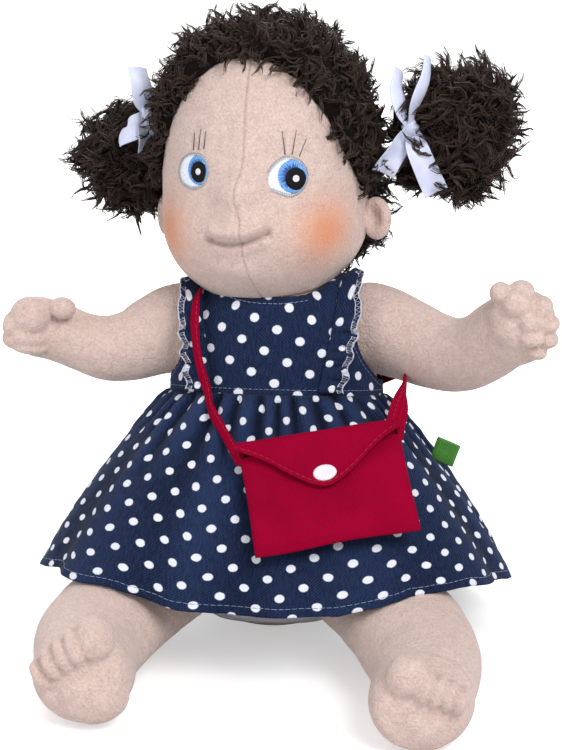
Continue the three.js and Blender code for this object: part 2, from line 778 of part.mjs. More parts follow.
function makeHair() {
  const hollow = headSolid(GAP + CROWN_ALLOWANCE, PLAIN_AZIMUTHS, PLAIN_HEIGHTS, false);
  const wig = curlSolid(GAP + PILE).subtract(hollow);
  addPiece("wig_cap", toGeometry(largestBody(wig)), "pile", 1);
  const wigGrown = curlSolid(3 * GAP + PILE, TUFT_CLEARANCE);
  const headGrown = headSolid(2 * TUFT_CLEARANCE, PLAIN_AZIMUTHS, PLAIN_HEIGHTS, false);
  for (const [side, sign, tuft] of [
    ["right", -1, TUFT_RIGHT],
    ["left", 1, TUFT_LEFT],
  ]) {
    const pivot = new THREE.Vector3(...tuft.knot).applyMatrix4(headMatrix).toArray();
    const nearEar = ear(sign, 4 * GAP);
    const earPlaces = [-TUFT_SWING, 0, TUFT_SWING].map((angle) => turnedAbout(nearEar, pivot, Y_AXIS, angle));
    const earRoom = [0, 1].map((k) => wasm.Manifold.hull(earPlaces.slice(k, k + 2)));
    const headRoom = sweptObstacle(wigGrown.add(headGrown), pivot, Y_AXIS, -TUFT_SWING, TUFT_SWING);
    const room = joined([headRoom, ...earRoom]);
    const bunch = toSolid(loft(tuftRings(tuft, 0)));
    const bunchGrown = toSolid(loft(tuftRings(tuft, GAP)));
    const elastic = elasticRing(tuft, 0).subtract(bunchGrown);
    const ribbon = bow(tuft, sign).subtract(bunchGrown).subtract(elasticRing(tuft, GAP));
    addPiece(`pigtail_${side}`, toGeometry(largestBody(bunch.subtract(room))), "pile", 1);
    addPiece(`hair_elastic_${side}`, toGeometry(largestBody(elastic.subtract(room))), "elastic");
    addPiece(`bow_${side}`, toGeometry(largestBody(ribbon.subtract(room))), "satin", 0.45);
  }
}

function makeNeck() {
  const bottom = NECK_BOTTOM - NECK_PIVOT.z;
  const outer = turnedTube(neckProfile(0, bottom), NECK_PIVOT);
  const inner = turnedTube(neckProfile(-SKIN, bottom - 5), NECK_PIVOT);
  const filling = turnedTube(neckProfile(-SKIN - GAP, bottom + GAP), NECK_PIVOT, 14);
  addPiece("neck_skin", toGeometry(outer.subtract(inner)), "velour");
  addPiece("neck_filling", toGeometry(filling), "filling");
}

const LOW_HEIGHTS = headLevels([0.4], [0.35, 0.68, 0.92]);

// The lower head's room over the body as it nods
function nodRoom(grow) {
  const still = headSolid(HEAD_CLEARANCE + grow, PLAIN_AZIMUTHS, LOW_HEIGHTS, false);
  const pivot = NECK_PIVOT.toArray();
  return joined([-NOD_BACK, 0, NOD_FORWARD].map((angle) => turnedAbout(still, pivot, X_AXIS, angle)));
}

const neckRoom = turnedTube(neckProfile(GAP * 1.4, NECK_BOTTOM - NECK_PIVOT.z - GAP), NECK_PIVOT);

function makeBody() {
  const outer = bodySolid(0).intersect(ABOVE_FLOOR).subtract(nodRoom(0));
  const inner = bodySolid(-SKIN, 16).intersect(box(-FAR, FAR, -FAR, FAR, SKIN, FAR));
  const innerTop = inner.subtract(nodRoom(SKIN));
  const skin = outer.subtract(innerTop).subtract(neckRoom);
  addPiece("body_skin", toGeometry(largestBody(skin)), "velour");
  const inside = bodySolid(-SKIN - 2 * GAP, 16)
    .intersect(box(-FAR, FAR, -FAR, FAR, SKIN + GAP, FAR))
    .subtract(nodRoom(SKIN + 2 * GAP))
    .subtract(neckRoom);
  const pellets = inside.intersect(bodySlab(-FAR / 2, PELLET_TOP));
  const stuffing = inside.intersect(bodySlab(PELLET_TOP + GAP, FAR / 2));
  addPiece("pellet_pouch", toGeometry(largestBody(pellets)), "pellets");
  addPiece("body_filling", toGeometry(largestBody(stuffing)), "filling");
}

// Limbs

function limbRings(stations, grow, points) {
  const centres = stations.map(([x, y, z]) => new THREE.Vector3(x, y, z));
  return stations.map(([, , , tall, deep], k) => {
    const before = centres[Math.max(0, k - 1)];
    const after = centres[Math.min(stations.length - 1, k + 1)];
    const along = after.clone().sub(before).normalize();
    const side = new THREE.Vector3().crossVectors(new THREE.Vector3(0, 0, 1), along).normalize();
    const up = new THREE.Vector3().crossVectors(along, side).normalize();
    return [...Array(points).keys()].map((i) => {
      const angle = (i / points) * Math.PI * 2;
      return centres[k]
        .clone()
        .addScaledVector(side, (deep + grow) * Math.cos(angle))
        .addScaledVector(up, (tall + grow) * Math.sin(angle));
    });
  });
}

function lump(x, y, z, rx, ry, rz) {
  const geometry = new THREE.SphereGeometry(1, 8, 5);
  geometry.scale(rx, ry, rz);
  geometry.translate(x, y, z);
  return toSolid(geometry);
}

function turnedAbout(solid, pivot, axis, angle) {
  const geometry = toGeometry(solid);
  geometry.translate(-pivot[0], -pivot[1], -pivot[2]);
  geometry.applyMatrix4(new THREE.Matrix4().makeRotationAxis(axis, THREE.MathUtils.degToRad(angle)));
  geometry.translate(pivot[0], pivot[1], pivot[2]);
  return toSolid(geometry);
}

// What a limb has to stay clear of over its whole range, seen from the limb
function sweptObstacle(obstacle, pivot, axis, low, high) {
  const steps = Math.ceil((high - low) / SWEEP_STEP);
  const places = [...Array(steps + 1).keys()].map((k) => low + ((high - low) * k) / steps);
  return joined(places.map((angle) => turnedAbout(obstacle, pivot, axis, -angle)));
}

// A limb's stations with one end moved along it; a negative distance draws the end in
function endMoved(stations, end, distance) {
  const last = end === "first" ? 0 : stations.length - 1;
  const next = end === "first" ? 1 : stations.length - 2;
  const tip = new THREE.Vector3(...stations[last].slice(0, 3));
  const inward = new THREE.Vector3(...stations[next].slice(0, 3));
  const outward = tip.clone().sub(inward).normalize();
  tip.addScaledVector(outward, distance);
  return stations.map((row, k) => (k === last ? [...tip.toArray(), row[3], row[4]] : row));
}

function makeLimb(name, stations, lumps, room, points) {
  const outer = joined([toSolid(loft(limbRings(stations, 0, points))), ...lumps]);
  const hollow = endMoved(endMoved(stations, "first", LIMB_OPENING), "last", -SKIN);
  const inner = toSolid(loft(limbRings(hollow, -SKIN, INNER_SIDE_COUNT)));
  const stuffed = endMoved(stations, "last", -SKIN - GAP);
  const core = toSolid(loft(limbRings(stuffed, -SKIN - 2 * GAP, INNER_SIDE_COUNT)));
  const skin = outer.subtract(inner).subtract(room).intersect(ABOVE_FLOOR);
  addPiece(`${name}_skin`, toGeometry(largestBody(skin)), "velour");
  const raised = box(-FAR, FAR, -FAR, FAR, SKIN + GAP, FAR);
  const stuffing = core.subtract(room).intersect(raised);
  addPiece(`${name}_filling`, toGeometry(largestBody(stuffing)), "filling");
}

function fingerLumps(tip, sign) {
  const [x, y, z] = tip;
  return [
    lump(x + sign * 1, y - 8, z + 7.5, 6, 6, 4.6),
    lump(x + sign * 3.5, y - 8.5, z + 1.2, 5.6, 6, 4.2),
    lump(x + sign * 2.5, y - 8, z - 5, 5.4, 5.6, 4),
    lump(x, y - 6, z - 10, 5, 5, 3.6),
    lump(x - sign * 10, y - 5, z + 11, 7.4, 5.4, 4.6),
  ];
}

function toeLumps(middle, sign) {
  const [x, y, z] = middle;
  const row = [
    [-8, 15, 8.2],
    [3, 16, 5.6],
    [10.5, 11.5, 5.2],
    [15.5, 5, 4.8],
    [18, -2.5, 4.4],
  ];
  return row.map(([across, up, size]) => lump(x + sign * across, y, z + up, size, size * 0.9, size));
}

function makeLimbs() {
  const trunk = bodySolid(SHOULDER_CLEARANCE, SWEEP_SIDE_COUNT);
  const bodice = bodySolid(DENIM + GAP + SWEEP_CLEARANCE, SWEEP_SIDE_COUNT).subtract(armholes(ARMHOLE_EASE));
  const seat = bodySolid(COTTON + GAP + SWEEP_CLEARANCE, SWEEP_SIDE_COUNT);
  const levels = [1, 0.6, 0.3, 0];
  const around = [...Array(SWEEP_SIDE_COUNT).keys()].map((i) => (i / SWEEP_SIDE_COUNT) * Math.PI * 2);
  const rings = levels.map((t) => around.map((angle) => skirtPoint(t, angle, -SKIRT_CLEARANCE, false)));
  rings.push(rings.at(-1).map((point) => point.clone().setZ(point.z + SWEEP_CLEARANCE)));
  const strap = toSolid(loft(strapRings(STRAP_CLEARANCE)));
  const dressed = joined([trunk, bodice, toSolid(loft(rings)), strap]);
  const arms = [
    ["right", -1, ARM_RIGHT_STATIONS, RIGHT_FIST],
    ["left", 1, ARM_LEFT_STATIONS, LEFT_FIST],
  ];
  for (const [side, sign, stations, fist] of arms) {
    const raised = stations.map(([x, y, z, ...sizes]) => [x, y, z + NECK_HEIGHT, ...sizes]);
    const tip = [fist[0], fist[1], fist[2] + NECK_HEIGHT];
    const [low, high] = sign < 0 ? [-ARM_DROP, ARM_RAISE] : [-ARM_RAISE, ARM_DROP];
    const room = sweptObstacle(dressed, SHOULDER_PIVOT[side], Y_AXIS, low, high);
    makeLimb(`arm_${side}`, raised, fingerLumps(tip, sign), room, 12);
  }
  const legs = [
    ["right", -1, LEG_RIGHT_STATIONS, RIGHT_SOLE],
    ["left", 1, LEG_LEFT_STATIONS, LEFT_SOLE],
  ];
  for (const [side, sign, stations, sole] of legs) {
    const room = sweptObstacle(seat, HIP_PIVOT[side], X_AXIS, 0, HIP_RANGE);
    makeLimb(`leg_${side}`, stations, toeLumps(sole, sign), room, 12);
  }
}

// Dress and underpants

function makeUnderpants() {
  const outer = bodySolid(COTTON + GAP).subtract(bodySolid(GAP));
  const cloth = outer.intersect(bodySlab(4, UNDERPANTS_TOP)).intersect(box(-FAR, FAR, -FAR, FAR, GAP, FAR));
  addPiece("underpants", toGeometry(largestBody(cloth)), "cotton");
}

// Cutters for both armholes, smaller by a margin
function armholes(margin) {
  const cutters = [-1, 1].map((sign) => {
    const geometry = new THREE.CylinderGeometry(1, 1, ARMHOLE_REACH, 20);
    geometry.rotateZ(Math.PI / 2);
    geometry.scale(1, ARMHOLE_HALF_DEEP - margin, ARMHOLE_HALF_TALL - margin);
    geometry.translate(sign * (ARMHOLE_START + ARMHOLE_REACH / 2), SIDE_SEAM, NECK_HEIGHT - ARMHOLE_DOWN);
    return toSolid(geometry);
  });
  return joined(cutters);
}

function makeBodice() {
  const cloth = bodySolid(DENIM + GAP)
    .subtract(bodySolid(GAP))
    .intersect(bodySlab(WAIST + GAP, FAR / 2))
    .subtract(headSolid(HEAD_CLEARANCE + 2, PLAIN_AZIMUTHS, PLAIN_HEIGHTS, false));
  const open = cloth.subtract(armholes(0));
  const half = GAP / 2;
  const pieces = {
    bodice_front: box(-FAR, FAR, -FAR, SIDE_SEAM - half, 0, FAR),
    bodice_back_right: box(-FAR, -half, SIDE_SEAM + half, FAR, 0, FAR),
    bodice_back_left: box(half, FAR, SIDE_SEAM + half, FAR, 0, FAR),
  };
  for (const [name, part] of Object.entries(pieces)) {
    addPiece(name, toGeometry(largestBody(open.intersect(part))), "denim");
  }
}

function skirtPoint(t, angle, inward, folded = true) {
  const [waistWide, waistDeep] = bodyHalfSizes(WAIST);
  const proud = DENIM + 2 * GAP + WAIST_FOLD_DEPTH;
  const waist = bodyFrame(
    (waistWide + proud - inward) * Math.cos(angle),
    (waistDeep + proud - inward) * Math.sin(angle),
    WAIST,
  );
  const fromFront = Math.abs(THREE.MathUtils.radToDeg(Math.atan2(Math.cos(angle), -Math.sin(angle))));
  const height = interpolate(HEM_HEIGHTS, fromFront);
  const squareness = Math.sin(angle) < 0 ? HEM_FRONT_SQUARENESS : 2;
  const sides = Math.abs(Math.cos(angle)) ** squareness + Math.abs(Math.sin(angle)) ** squareness;
  const stretch = sides ** (-1 / squareness);
  const hem = new THREE.Vector3(
    HEM_CENTRE_X + (HEM_HALF_WIDTH - inward) * stretch * Math.cos(angle),
    HEM_CENTRE_Y + (HEM_HALF_DEPTH - inward) * stretch * Math.sin(angle),
    height,
  );
  const spread = Math.sin(t * Math.PI * 0.5) ** 0.9;
  const point = new THREE.Vector3().lerpVectors(waist, hem, t);
  const outX = THREE.MathUtils.lerp(waist.x, hem.x, spread);
  const outY = THREE.MathUtils.lerp(waist.y, hem.y, spread);
  point.x = THREE.MathUtils.lerp(point.x, outX, 0.35);
  point.y = THREE.MathUtils.lerp(point.y, outY, 0.35);
  const swing = folded ? Math.sin(angle * SKIRT_FOLDS) : 1;
  const fold = THREE.MathUtils.lerp(WAIST_FOLD_DEPTH, HEM_FOLD_DEPTH, t) * swing;
  point.x += fold * Math.cos(angle);
  point.y += fold * Math.sin(angle);
  return point;
}

function makeSkirt() {
  const count = SKIRT_FOLDS * FOLD_POINT_COUNT;
  const levels = [1, 0.75, 0.5, 0.25, 0.07, 0];
  const run = (inward) =>
    levels.map((t) =>
      [...Array(count).keys()].map((i) => skirtPoint(t, ((i + 0.5) / count) * Math.PI * 2, inward)),
    );
  addPiece("skirt", wall(run(0), run(DENIM)), "denim");
}

// Frills along the front armholes, lying on the bodice with their edges free
function makeFrills() {
  const bodice = bodySolid(DENIM + 2 * GAP);
  for (const [side, sign] of [
    ["right", -1],
    ["left", 1],
  ]) {
    const stations = FRILL_WAVE_COUNT * 4;
    const rings = [...Array(stations + 1).keys()].map((k) => {
      const t = k / stations;
      const along = THREE.MathUtils.lerp(WAIST + 2, FRILL_TOP, t);
      const [width, depth] = bodyHalfSizes(along);
      const seam = THREE.MathUtils.lerp(FRILL_SEAM_LOW, FRILL_SEAM_HIGH, t);
      const round = (x) => Math.sqrt(Math.max(0.05, 1 - (x / (width + 1)) ** 2));
      const depthAt = (x) => -(depth + DENIM + 2 * GAP) * round(x);
      const wave = FRILL_WAVE_DEPTH * (1 + Math.sin(t * FRILL_WAVE_COUNT * Math.PI * 2));
      const seamDepth = depthAt(seam) - 5 * GAP;
      const edgeX = seam + FRILL_WIDTH;
      const edgeDepth = Math.min(depthAt(edgeX) - 0.6, seamDepth + FRILL_TURN) - wave;
      const ring = [
        [seam, seamDepth],
        [seam, seamDepth - DENIM],
        [edgeX, edgeDepth - DENIM],
        [edgeX, edgeDepth],
      ].map(([x, d]) => bodyFrame(sign * x, d, along));
      return sign > 0 ? ring : ring.reverse();
    });
    const frill = toSolid(loft(rings)).subtract(bodice);
    addPiece(`frill_${side}`, toGeometry(largestBody(frill)), "denim");
  }
}

function makeSideLabel() {
  const angle = LABEL_AZIMUTH;
  const at = skirtPoint(LABEL_SHARE, angle, 0);
  const out = new THREE.Vector3(Math.cos(angle), Math.sin(angle), 0.25).normalize();
  const geometry = new THREE.BoxGeometry(LABEL_WIDE, LABEL_THICK, LABEL_TALL);
  const turn = new THREE.Quaternion().setFromUnitVectors(new THREE.Vector3(1, 0, 0), out);
  geometry.applyQuaternion(turn);
  const middle = at.clone().addScaledVector(out, LABEL_WIDE / 2 + LABEL_GAP);
  geometry.translate(middle.x, middle.y, middle.z);
  addPiece("side_label", geometry, "label", 0.6);
}

// Hook and loop tapes that close the bodice at the back, one on each half
function makeTapes() {
  const middle = (WAIST + FRILL_TOP) / 2;
  const place = (name, centreX, outward) => {
    const rings = [0, 0.25, 0.5, 0.75, 1].map((t) => {
      const along = middle + TAPE_LENGTH * (t - 0.5);
      const [width, depth] = bodyHalfSizes(along);
      const surface = (x) => (depth + DENIM + GAP) * Math.sqrt(1 - (x / (width + DENIM + GAP)) ** 2) + GAP;
      const low = outward;
      const high = outward + TAPE_THICK;
      return [
        [centreX + TAPE_WIDTH / 2, low],
        [centreX + TAPE_WIDTH / 2, high],
        [centreX - TAPE_WIDTH / 2, high],
        [centreX - TAPE_WIDTH / 2, low],
      ].map(([x, rise]) => bodyFrame(x, surface(x) + rise, along));
    });
    addPiece(name, loft(rings), "tape");
  };
  place("closure_loop_tape", 4.6, 0);
  place("closure_hook_tape", 4.6, TAPE_THICK + GAP);
}

// The bag's own frame: x along its top edge, y out of its face, z up its face
function bagMatrix() {
  const matrix = new THREE.Matrix4().makeTranslation(BAG_TOP.x, BAG_TOP.y, BAG_TOP.z);
  matrix.multiply(new THREE.Matrix4().makeRotationX(-BAG_SLOPE));
  matrix.multiply(new THREE.Matrix4().makeRotationY(-BAG_ROLL));
  return matrix;
}

function bagRings(inset, drop, lift) {
  const levels = [
    [-BAG_HEIGHT + inset * 1.5, BAG_SEAM],
    [-BAG_HEIGHT * 0.93 + inset, BAG_BELLY * 0.62],
    [-BAG_HEIGHT * 0.75, BAG_BELLY],
    [-BAG_HEIGHT * 0.45, BAG_BELLY],
    [-BAG_HEIGHT * 0.2, BAG_BELLY * 0.97],
    [lift, BAG_MOUTH],
  ];
  const count = 16;
  return levels.map(([z, thick]) =>
    [...Array(count).keys()].map((i) => {
      const angle = ((i + 0.5) / count) * Math.PI * 2;
      const cos = Math.cos(angle);
      const sin = Math.sin(angle);
      const x = Math.sign(cos) * Math.abs(cos) ** 0.45 * (BAG_WIDTH / 2 - inset);
      const y = Math.sign(sin) * Math.abs(sin) ** 0.8 * Math.max(0.5, thick / 2 - inset);
      return new THREE.Vector3(x, y + drop, z);
    }),
  );
}

function makeBag() {
  const matrix = bagMatrix();
  const outer = toSolid(loft(bagRings(0, 0, 0)));
  const inner = toSolid(loft(bagRings(BAG_WALL, 0, 6)));
  const lip = box(-BAG_WIDTH, BAG_WIDTH, -20, 0, -BAG_LIP_DROP, 20);
  const place = (solid) => toGeometry(solid).applyMatrix4(matrix);
  addPiece("bag_pouch", place(outer.subtract(inner).subtract(lip)), "crimson");
  const flap = new THREE.Shape();
  const half = BAG_WIDTH / 2 + FLAP_OVERHANG;
  flap.moveTo(-half, 0);
  flap.lineTo(-half, -FLAP_EDGE_DROP);
  flap.lineTo(-5, -FLAP_DROP + 3.2);
  flap.quadraticCurveTo(0, -FLAP_DROP, 5, -FLAP_DROP + 3.2);
  flap.lineTo(half, -FLAP_EDGE_DROP);
  flap.lineTo(half, 0);
  flap.closePath();
  const sheet = new THREE.ExtrudeGeometry(flap, { depth: FLAP_THICK, bevelEnabled: false, curveSegments: 6 });
  sheet.rotateX(Math.PI / 2);
  const front = -BAG_BELLY / 2 - 2 * PATCH_THICK - 3 * GAP;
  sheet.translate(0, front, GAP);
  const roofDepth = BAG_BELLY / 2 - front + FLAP_THICK;
  const roof = new THREE.BoxGeometry(2 * half, roofDepth, FLAP_THICK);
  roof.translate(0, BAG_BELLY / 2 - roofDepth / 2, GAP + FLAP_THICK / 2);
  addPiece("bag_flap", place(toSolid(sheet).add(toSolid(roof))), "crimson");
  const patch = (name, outward) => {
    const geometry = new THREE.BoxGeometry(PATCH_WIDE, PATCH_THICK, PATCH_TALL);
    geometry.translate(0, -BAG_BELLY / 2 - outward - PATCH_THICK / 2, PATCH_DROP);
    addPiece(name, geometry.applyMatrix4(matrix), "crimson");
  };
  patch("bag_loop_patch", GAP);
  patch("bag_hook_patch", PATCH_THICK + 2 * GAP);
  const dot = new THREE.CylinderGeometry(1, 1, THREAD * 1.6, 18);
  dot.scale(DOT_WIDE / 2, 1, DOT_TALL / 2);
  dot.translate(0, front - FLAP_THICK - GAP - THREAD * 0.8, DOT_DROP);
  addPiece("bag_dot", dot.applyMatrix4(matrix), "felt");
}

// A point on the dress, or off it by a distance
function onDress(angle, along, lift) {
  if (along < WAIST) return skirtPoint((WAIST - along) / SKIRT_LENGTH, angle, -lift, false);
  const [width, depth] = bodyHalfSizes(along);
  const off = DENIM + GAP + lift;
  return bodyFrame((width + off) * Math.cos(angle), (depth + off) * Math.sin(angle), along);
}

function strapRings(grow) {
  const side = BAG_WIDTH / 2 + FLAP_OVERHANG + STRAP_THICK + 4 * GAP;
  const corner = (sign) => new THREE.Vector3(sign * side, 0, -STRAP_TAB).applyMatrix4(bagMatrix());
  const route = STRAP_ROUTE.map(([angle, over, extra]) =>
    onDress(THREE.MathUtils.degToRad(angle), WAIST + over, STRAP_LIFT + extra),
  );
  const curve = new THREE.CatmullRomCurve3([corner(-1), ...route, corner(1)]);
  const steps = STRAP_ROUTE.length + 7;
  return [...Array(steps + 1).keys()].map((k) => {
    const at = curve.getPointAt(k / steps);
    const along = curve.getTangentAt(k / steps);
    const height = THREE.MathUtils.clamp((at.z - BODY_BASE.z) / Math.cos(BODY_LEAN), 0, STRAP_CORE_TOP);
    const out = at.clone().sub(bodyFrame(0, 0, height));
    out.addScaledVector(along, -out.dot(along)).normalize();
    const flat = new THREE.Vector3().crossVectors(along, out);
    return [
      [-1, -1],
      [-1, 1],
      [1, 1],
      [1, -1],
    ].map(([w, n]) =>
      at
        .clone()
        .addScaledVector(flat, w * (STRAP_WIDTH / 2 + grow))
        .addScaledVector(out, n * (STRAP_THICK / 2 + grow)),
    );
  });
}

makeHead();
makeFace();
makeHair();
makeNeck();
makeBody();
makeLimbs();
makeUnderpants();
makeBodice();
makeSkirt();
makeFrills();
makeSideLabel();
makeTapes();
makeBag();
addPiece("bag_strap", loft(strapRings(0)), "crimson");

export default doll;
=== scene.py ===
"""A sewn cloth doll that sits with its legs out in front.

Sizes are in millimetres, +Z is up, the doll faces -Y and +X is its own left. Meshes are made in
metres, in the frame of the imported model. A method that lays a grid over a form takes two shares for
each point, across and along the grid, and gives the points. It is a Shape.
"""

import logging
import math
from collections.abc import Callable, Iterator, Sequence
from contextlib import contextmanager
from dataclasses import dataclass
from enum import Enum
from functools import partial

import bmesh
import bpy
import numpy as np
from mathutils import Matrix, Vector


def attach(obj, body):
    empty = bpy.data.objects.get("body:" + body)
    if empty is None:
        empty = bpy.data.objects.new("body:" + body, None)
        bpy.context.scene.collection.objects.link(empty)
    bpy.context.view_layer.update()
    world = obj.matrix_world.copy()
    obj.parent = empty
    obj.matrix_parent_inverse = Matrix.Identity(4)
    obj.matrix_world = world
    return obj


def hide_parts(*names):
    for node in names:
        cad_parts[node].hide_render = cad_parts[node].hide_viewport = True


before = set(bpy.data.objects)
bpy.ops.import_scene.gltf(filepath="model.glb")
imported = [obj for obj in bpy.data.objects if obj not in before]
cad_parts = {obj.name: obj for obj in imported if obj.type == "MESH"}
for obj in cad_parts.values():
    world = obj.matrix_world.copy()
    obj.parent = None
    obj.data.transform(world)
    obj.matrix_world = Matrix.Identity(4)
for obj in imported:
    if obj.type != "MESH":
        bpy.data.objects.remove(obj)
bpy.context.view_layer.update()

MM = 0.001
TURN = 2 * math.pi
TOP_SHARE = 0.6
RIBBON_STEPS = 60
LIMB_STEPS = 80
STRAP_STEPS = 240
LOG = logging.getLogger("doll")

Points = np.ndarray
Pair = tuple[float, float]
Triple = tuple[float, float, float]
Colour = tuple[int, int, int]
Piece = bpy.types.Object
Socket = bpy.types.NodeSocket
Shape = Callable[[Points, Points], Points]
Run = tuple[Points, Points]


class Side(Enum):
    """The doll's own right and left, with the sign of x on that side."""

    RIGHT = -1
    LEFT = 1

    @property
    def word(self) -> str:
        """The side's name as it ends the names of nodes and bodies."""
        return self.name.lower()


def smooth(low: float, high: float, value: Points | float) -> Points:
    """Rise softly from 0 at low to 1 at high."""
    share = np.clip((np.asarray(value, float) - low) / (high - low), 0, 1)
    return share * share * (3 - 2 * share)


def bell(value: Points, middle: float, half: float) -> Points:
    """A bell of height 1 round a middle."""
    return np.exp(-(((value - middle) / half) ** 2))


def mixed(first: Points | float, second: Points | float, share: Points | float) -> Points:
    """The value a share of the way from the first to the second."""
    return first + (second - first) * share


def stacked(*parts: Points | float) -> Points:
    """Coordinates side by side as rows of points."""
    return np.stack(np.broadcast_arrays(*parts), axis=-1).astype(float)


def laid(wide: float, long: float) -> Shape:
    """The flat map of a cloth of this size in metres."""
    return lambda across, along: stacked(across * wide, along * long)


def from_middle(along: Points) -> Points:
    """Share of the way from a patch's middle to its rim, over its top and back underneath."""
    return np.where(along < TOP_SHARE, along / TOP_SHARE, (1 - along) / (1 - TOP_SHARE))


def reach_along(path: Points) -> Points:
    """How far along a path each of its points lies."""
    return np.concatenate([[0], np.cumsum(np.linalg.norm(np.diff(path, axis=0), axis=1))])


def read_at(places: Points, stops: Points, rows: Points) -> Points:
    """Rows of values read off between stops.

    Args:
        places: where to read.
        stops: where each row stands.
        rows: a row of values for each stop.

    Returns:
        A row of values for each place.
    """
    return np.column_stack([np.interp(places, stops, column) for column in rows.T])


def unit(vectors: Points) -> Points:
    """The vectors at length 1."""
    length = np.linalg.norm(vectors, axis=-1, keepdims=True)
    return vectors / np.maximum(length, 1e-9)


def turned(axis: str, degrees: float) -> Points:
    """A 3 by 3 turn about a main axis."""
    return np.array(Matrix.Rotation(math.radians(degrees), 3, axis))


def uneven(points: Points, pitch: float, seed: int, waves: int = 10) -> Points:
    """Soft seeded unevenness over points.

    Args:
        points: rows of points in millimetres.
        pitch: distance from one rise to the next.
        seed: which unevenness.
        waves: how many plane waves are added up.

    Returns:
        One value for each point, about -1 to 1.
    """
    draw = np.random.default_rng(seed)
    ways = unit(draw.normal(size=(waves, 3))) * (TURN / pitch) * draw.uniform(0.7, 1.4, (waves, 1))
    return np.sin(points @ ways.T + draw.uniform(0, TURN, waves)).mean(axis=1) * 2


def curve_through(knots: Sequence[Sequence[float]], count: int) -> Points:
    """Points on a centripetal Catmull-Rom curve.

    Args:
        knots: the points that the curve goes through, of any number of coordinates.
        count: how many evenly spaced points come back.

    Returns:
        The points as rows.
    """
    rows = np.asarray(knots, float)
    ends = np.vstack([2 * rows[0] - rows[1], rows, 2 * rows[-1] - rows[-2]])
    before, start, stop, after = ends[:-3], ends[1:-2], ends[2:-1], ends[3:]
    pairs = ((before, start), (start, stop), (stop, after))
    step_in, step, step_out = (np.sqrt(np.linalg.norm(b - a, axis=1))[:, None] for a, b in pairs)
    leave = (start - before) / step_in - (stop - before) / (step_in + step) + (stop - start) / step
    arrive = (stop - start) / step - (after - start) / (step + step_out) + (after - stop) / step_out
    t = np.linspace(0, 1, 24)[:, None, None]
    dense = (2 * t**3 - 3 * t**2 + 1) * start + (t**3 - 2 * t**2 + t) * (leave * step)
    dense = dense + (3 * t**2 - 2 * t**3) * stop + (t**3 - t**2) * (arrive * step)
    dense = dense.transpose(1, 0, 2).reshape(-1, rows.shape[1])
    reach = reach_along(dense[:, :3])
    return read_at(np.linspace(0, reach[-1], count), reach, dense)


def along_path(path: Points) -> Points:
    """The direction of a path at each of its points."""
    return unit(np.gradient(path, axis=0))


def linked(name: str, data: bpy.types.ID) -> Piece:
    """A new object in the scene."""
    made = bpy.data.objects.new(name, data)
    bpy.context.scene.collection.objects.link(made)
    return made


def place_of(mesh: bpy.types.Mesh) -> Points:
    """The mesh's vertices as rows of points in metres."""
    flat = np.empty(len(mesh.vertices) * 3)
    mesh.vertices.foreach_get("co", flat)
    return flat.reshape(-1, 3)


def moved(mesh: bpy.types.Mesh, points: Points) -> None:
    """Put a mesh's vertices at points in millimetres."""
    mesh.vertices.foreach_set("co", (points * MM).ravel())


@contextmanager
def opened(mesh: bpy.types.Mesh) -> Iterator[bmesh.types.BMesh]:
    """Open a mesh to bmesh's operators and write the result back.

    Args:
        mesh: the mesh.

    Yields:
        The open form of the mesh.
    """
    form = bmesh.new()
    form.from_mesh(mesh)
    yield form
    form.to_mesh(mesh)
    form.free()


def closed_up(mesh: bpy.types.Mesh, near: float = 2e-6) -> None:
    """Merge seams and poles, points nearer than this in metres, and turn the faces outwards."""
    with opened(mesh) as form:
        bmesh.ops.remove_doubles(form, verts=form.verts, dist=near)
        bmesh.ops.recalc_face_normals(form, faces=form.faces)


def mapped(
    name: str,
    columns: int,
    rows: int,
    shape: Shape,
    cloth: Shape | None = None,
    marks: dict[str, Shape] | None = None,
    cut: Callable[[Points], Points] | None = None,
) -> Piece:
    """A grid laid over a form.

    Args:
        name: the object's name.
        columns: faces across.
        rows: faces along.
        shape: gives the place in millimetres for shares across and along.
        cloth: gives the place on the flat cloth in metres, kept as the UV map Cloth.
        marks: point attributes by name.
        cut: True for the points, in millimetres, whose faces are left out.

    Returns:
        The new object, its seams and poles closed.
    """
    mesh = bpy.data.meshes.new(name)
    with opened(mesh) as form:
        bmesh.ops.create_grid(form, x_segments=columns, y_segments=rows, size=0.5)
    across, along, _ = (place_of(mesh) + 0.5).T
    moved(mesh, shape(across, along))
    if cloth:
        corner = np.empty(len(mesh.loops), int)
        mesh.loops.foreach_get("vertex_index", corner)
        flat = cloth(across, along)[corner]
        mesh.uv_layers.new(name="Cloth").uv.foreach_set("vector", flat.ravel())
    for word, mark in (marks or {}).items():
        values = mesh.attributes.new(word, "FLOAT", "POINT").data
        values.foreach_set("value", mark(across, along))
    if cut:
        cut_out(mesh, cut)
    closed_up(mesh)
    return linked(name, mesh)


def cut_out(mesh: bpy.types.Mesh, cut: Callable[[Points], Points]) -> None:
    """Delete the faces of a mesh whose middles are in a cut.

    Args:
        mesh: the mesh.
        cut: True for points, in millimetres, that are cut out.
    """
    with opened(mesh) as form:
        middles = np.array([face.calc_center_median() for face in form.faces]) / MM
        gone = [face for face, out in zip(form.faces, cut(middles)) if out]
        bmesh.ops.delete(form, geom=gone, context="FACES")


def finished_mesh(piece: Piece) -> bpy.types.Mesh:
    """The mesh that a curve or a piece with modifiers comes to."""
    depsgraph = bpy.context.evaluated_depsgraph_get()
    return bpy.data.meshes.new_from_object(piece.evaluated_get(depsgraph))


def three_cornered(name: str) -> Piece:
    """The outline of a strand with three sides, as a closed curve."""
    curve = bpy.data.curves.new(name, "CURVE")
    spline = curve.splines.new("POLY")
    spline.points.add(2)
    angle = np.arange(3) * TURN / 3
    spline.points.foreach_set("co", stacked(np.cos(angle), np.sin(angle), 0, 1).ravel())
    spline.use_cyclic_u = True
    return linked(name, curve)


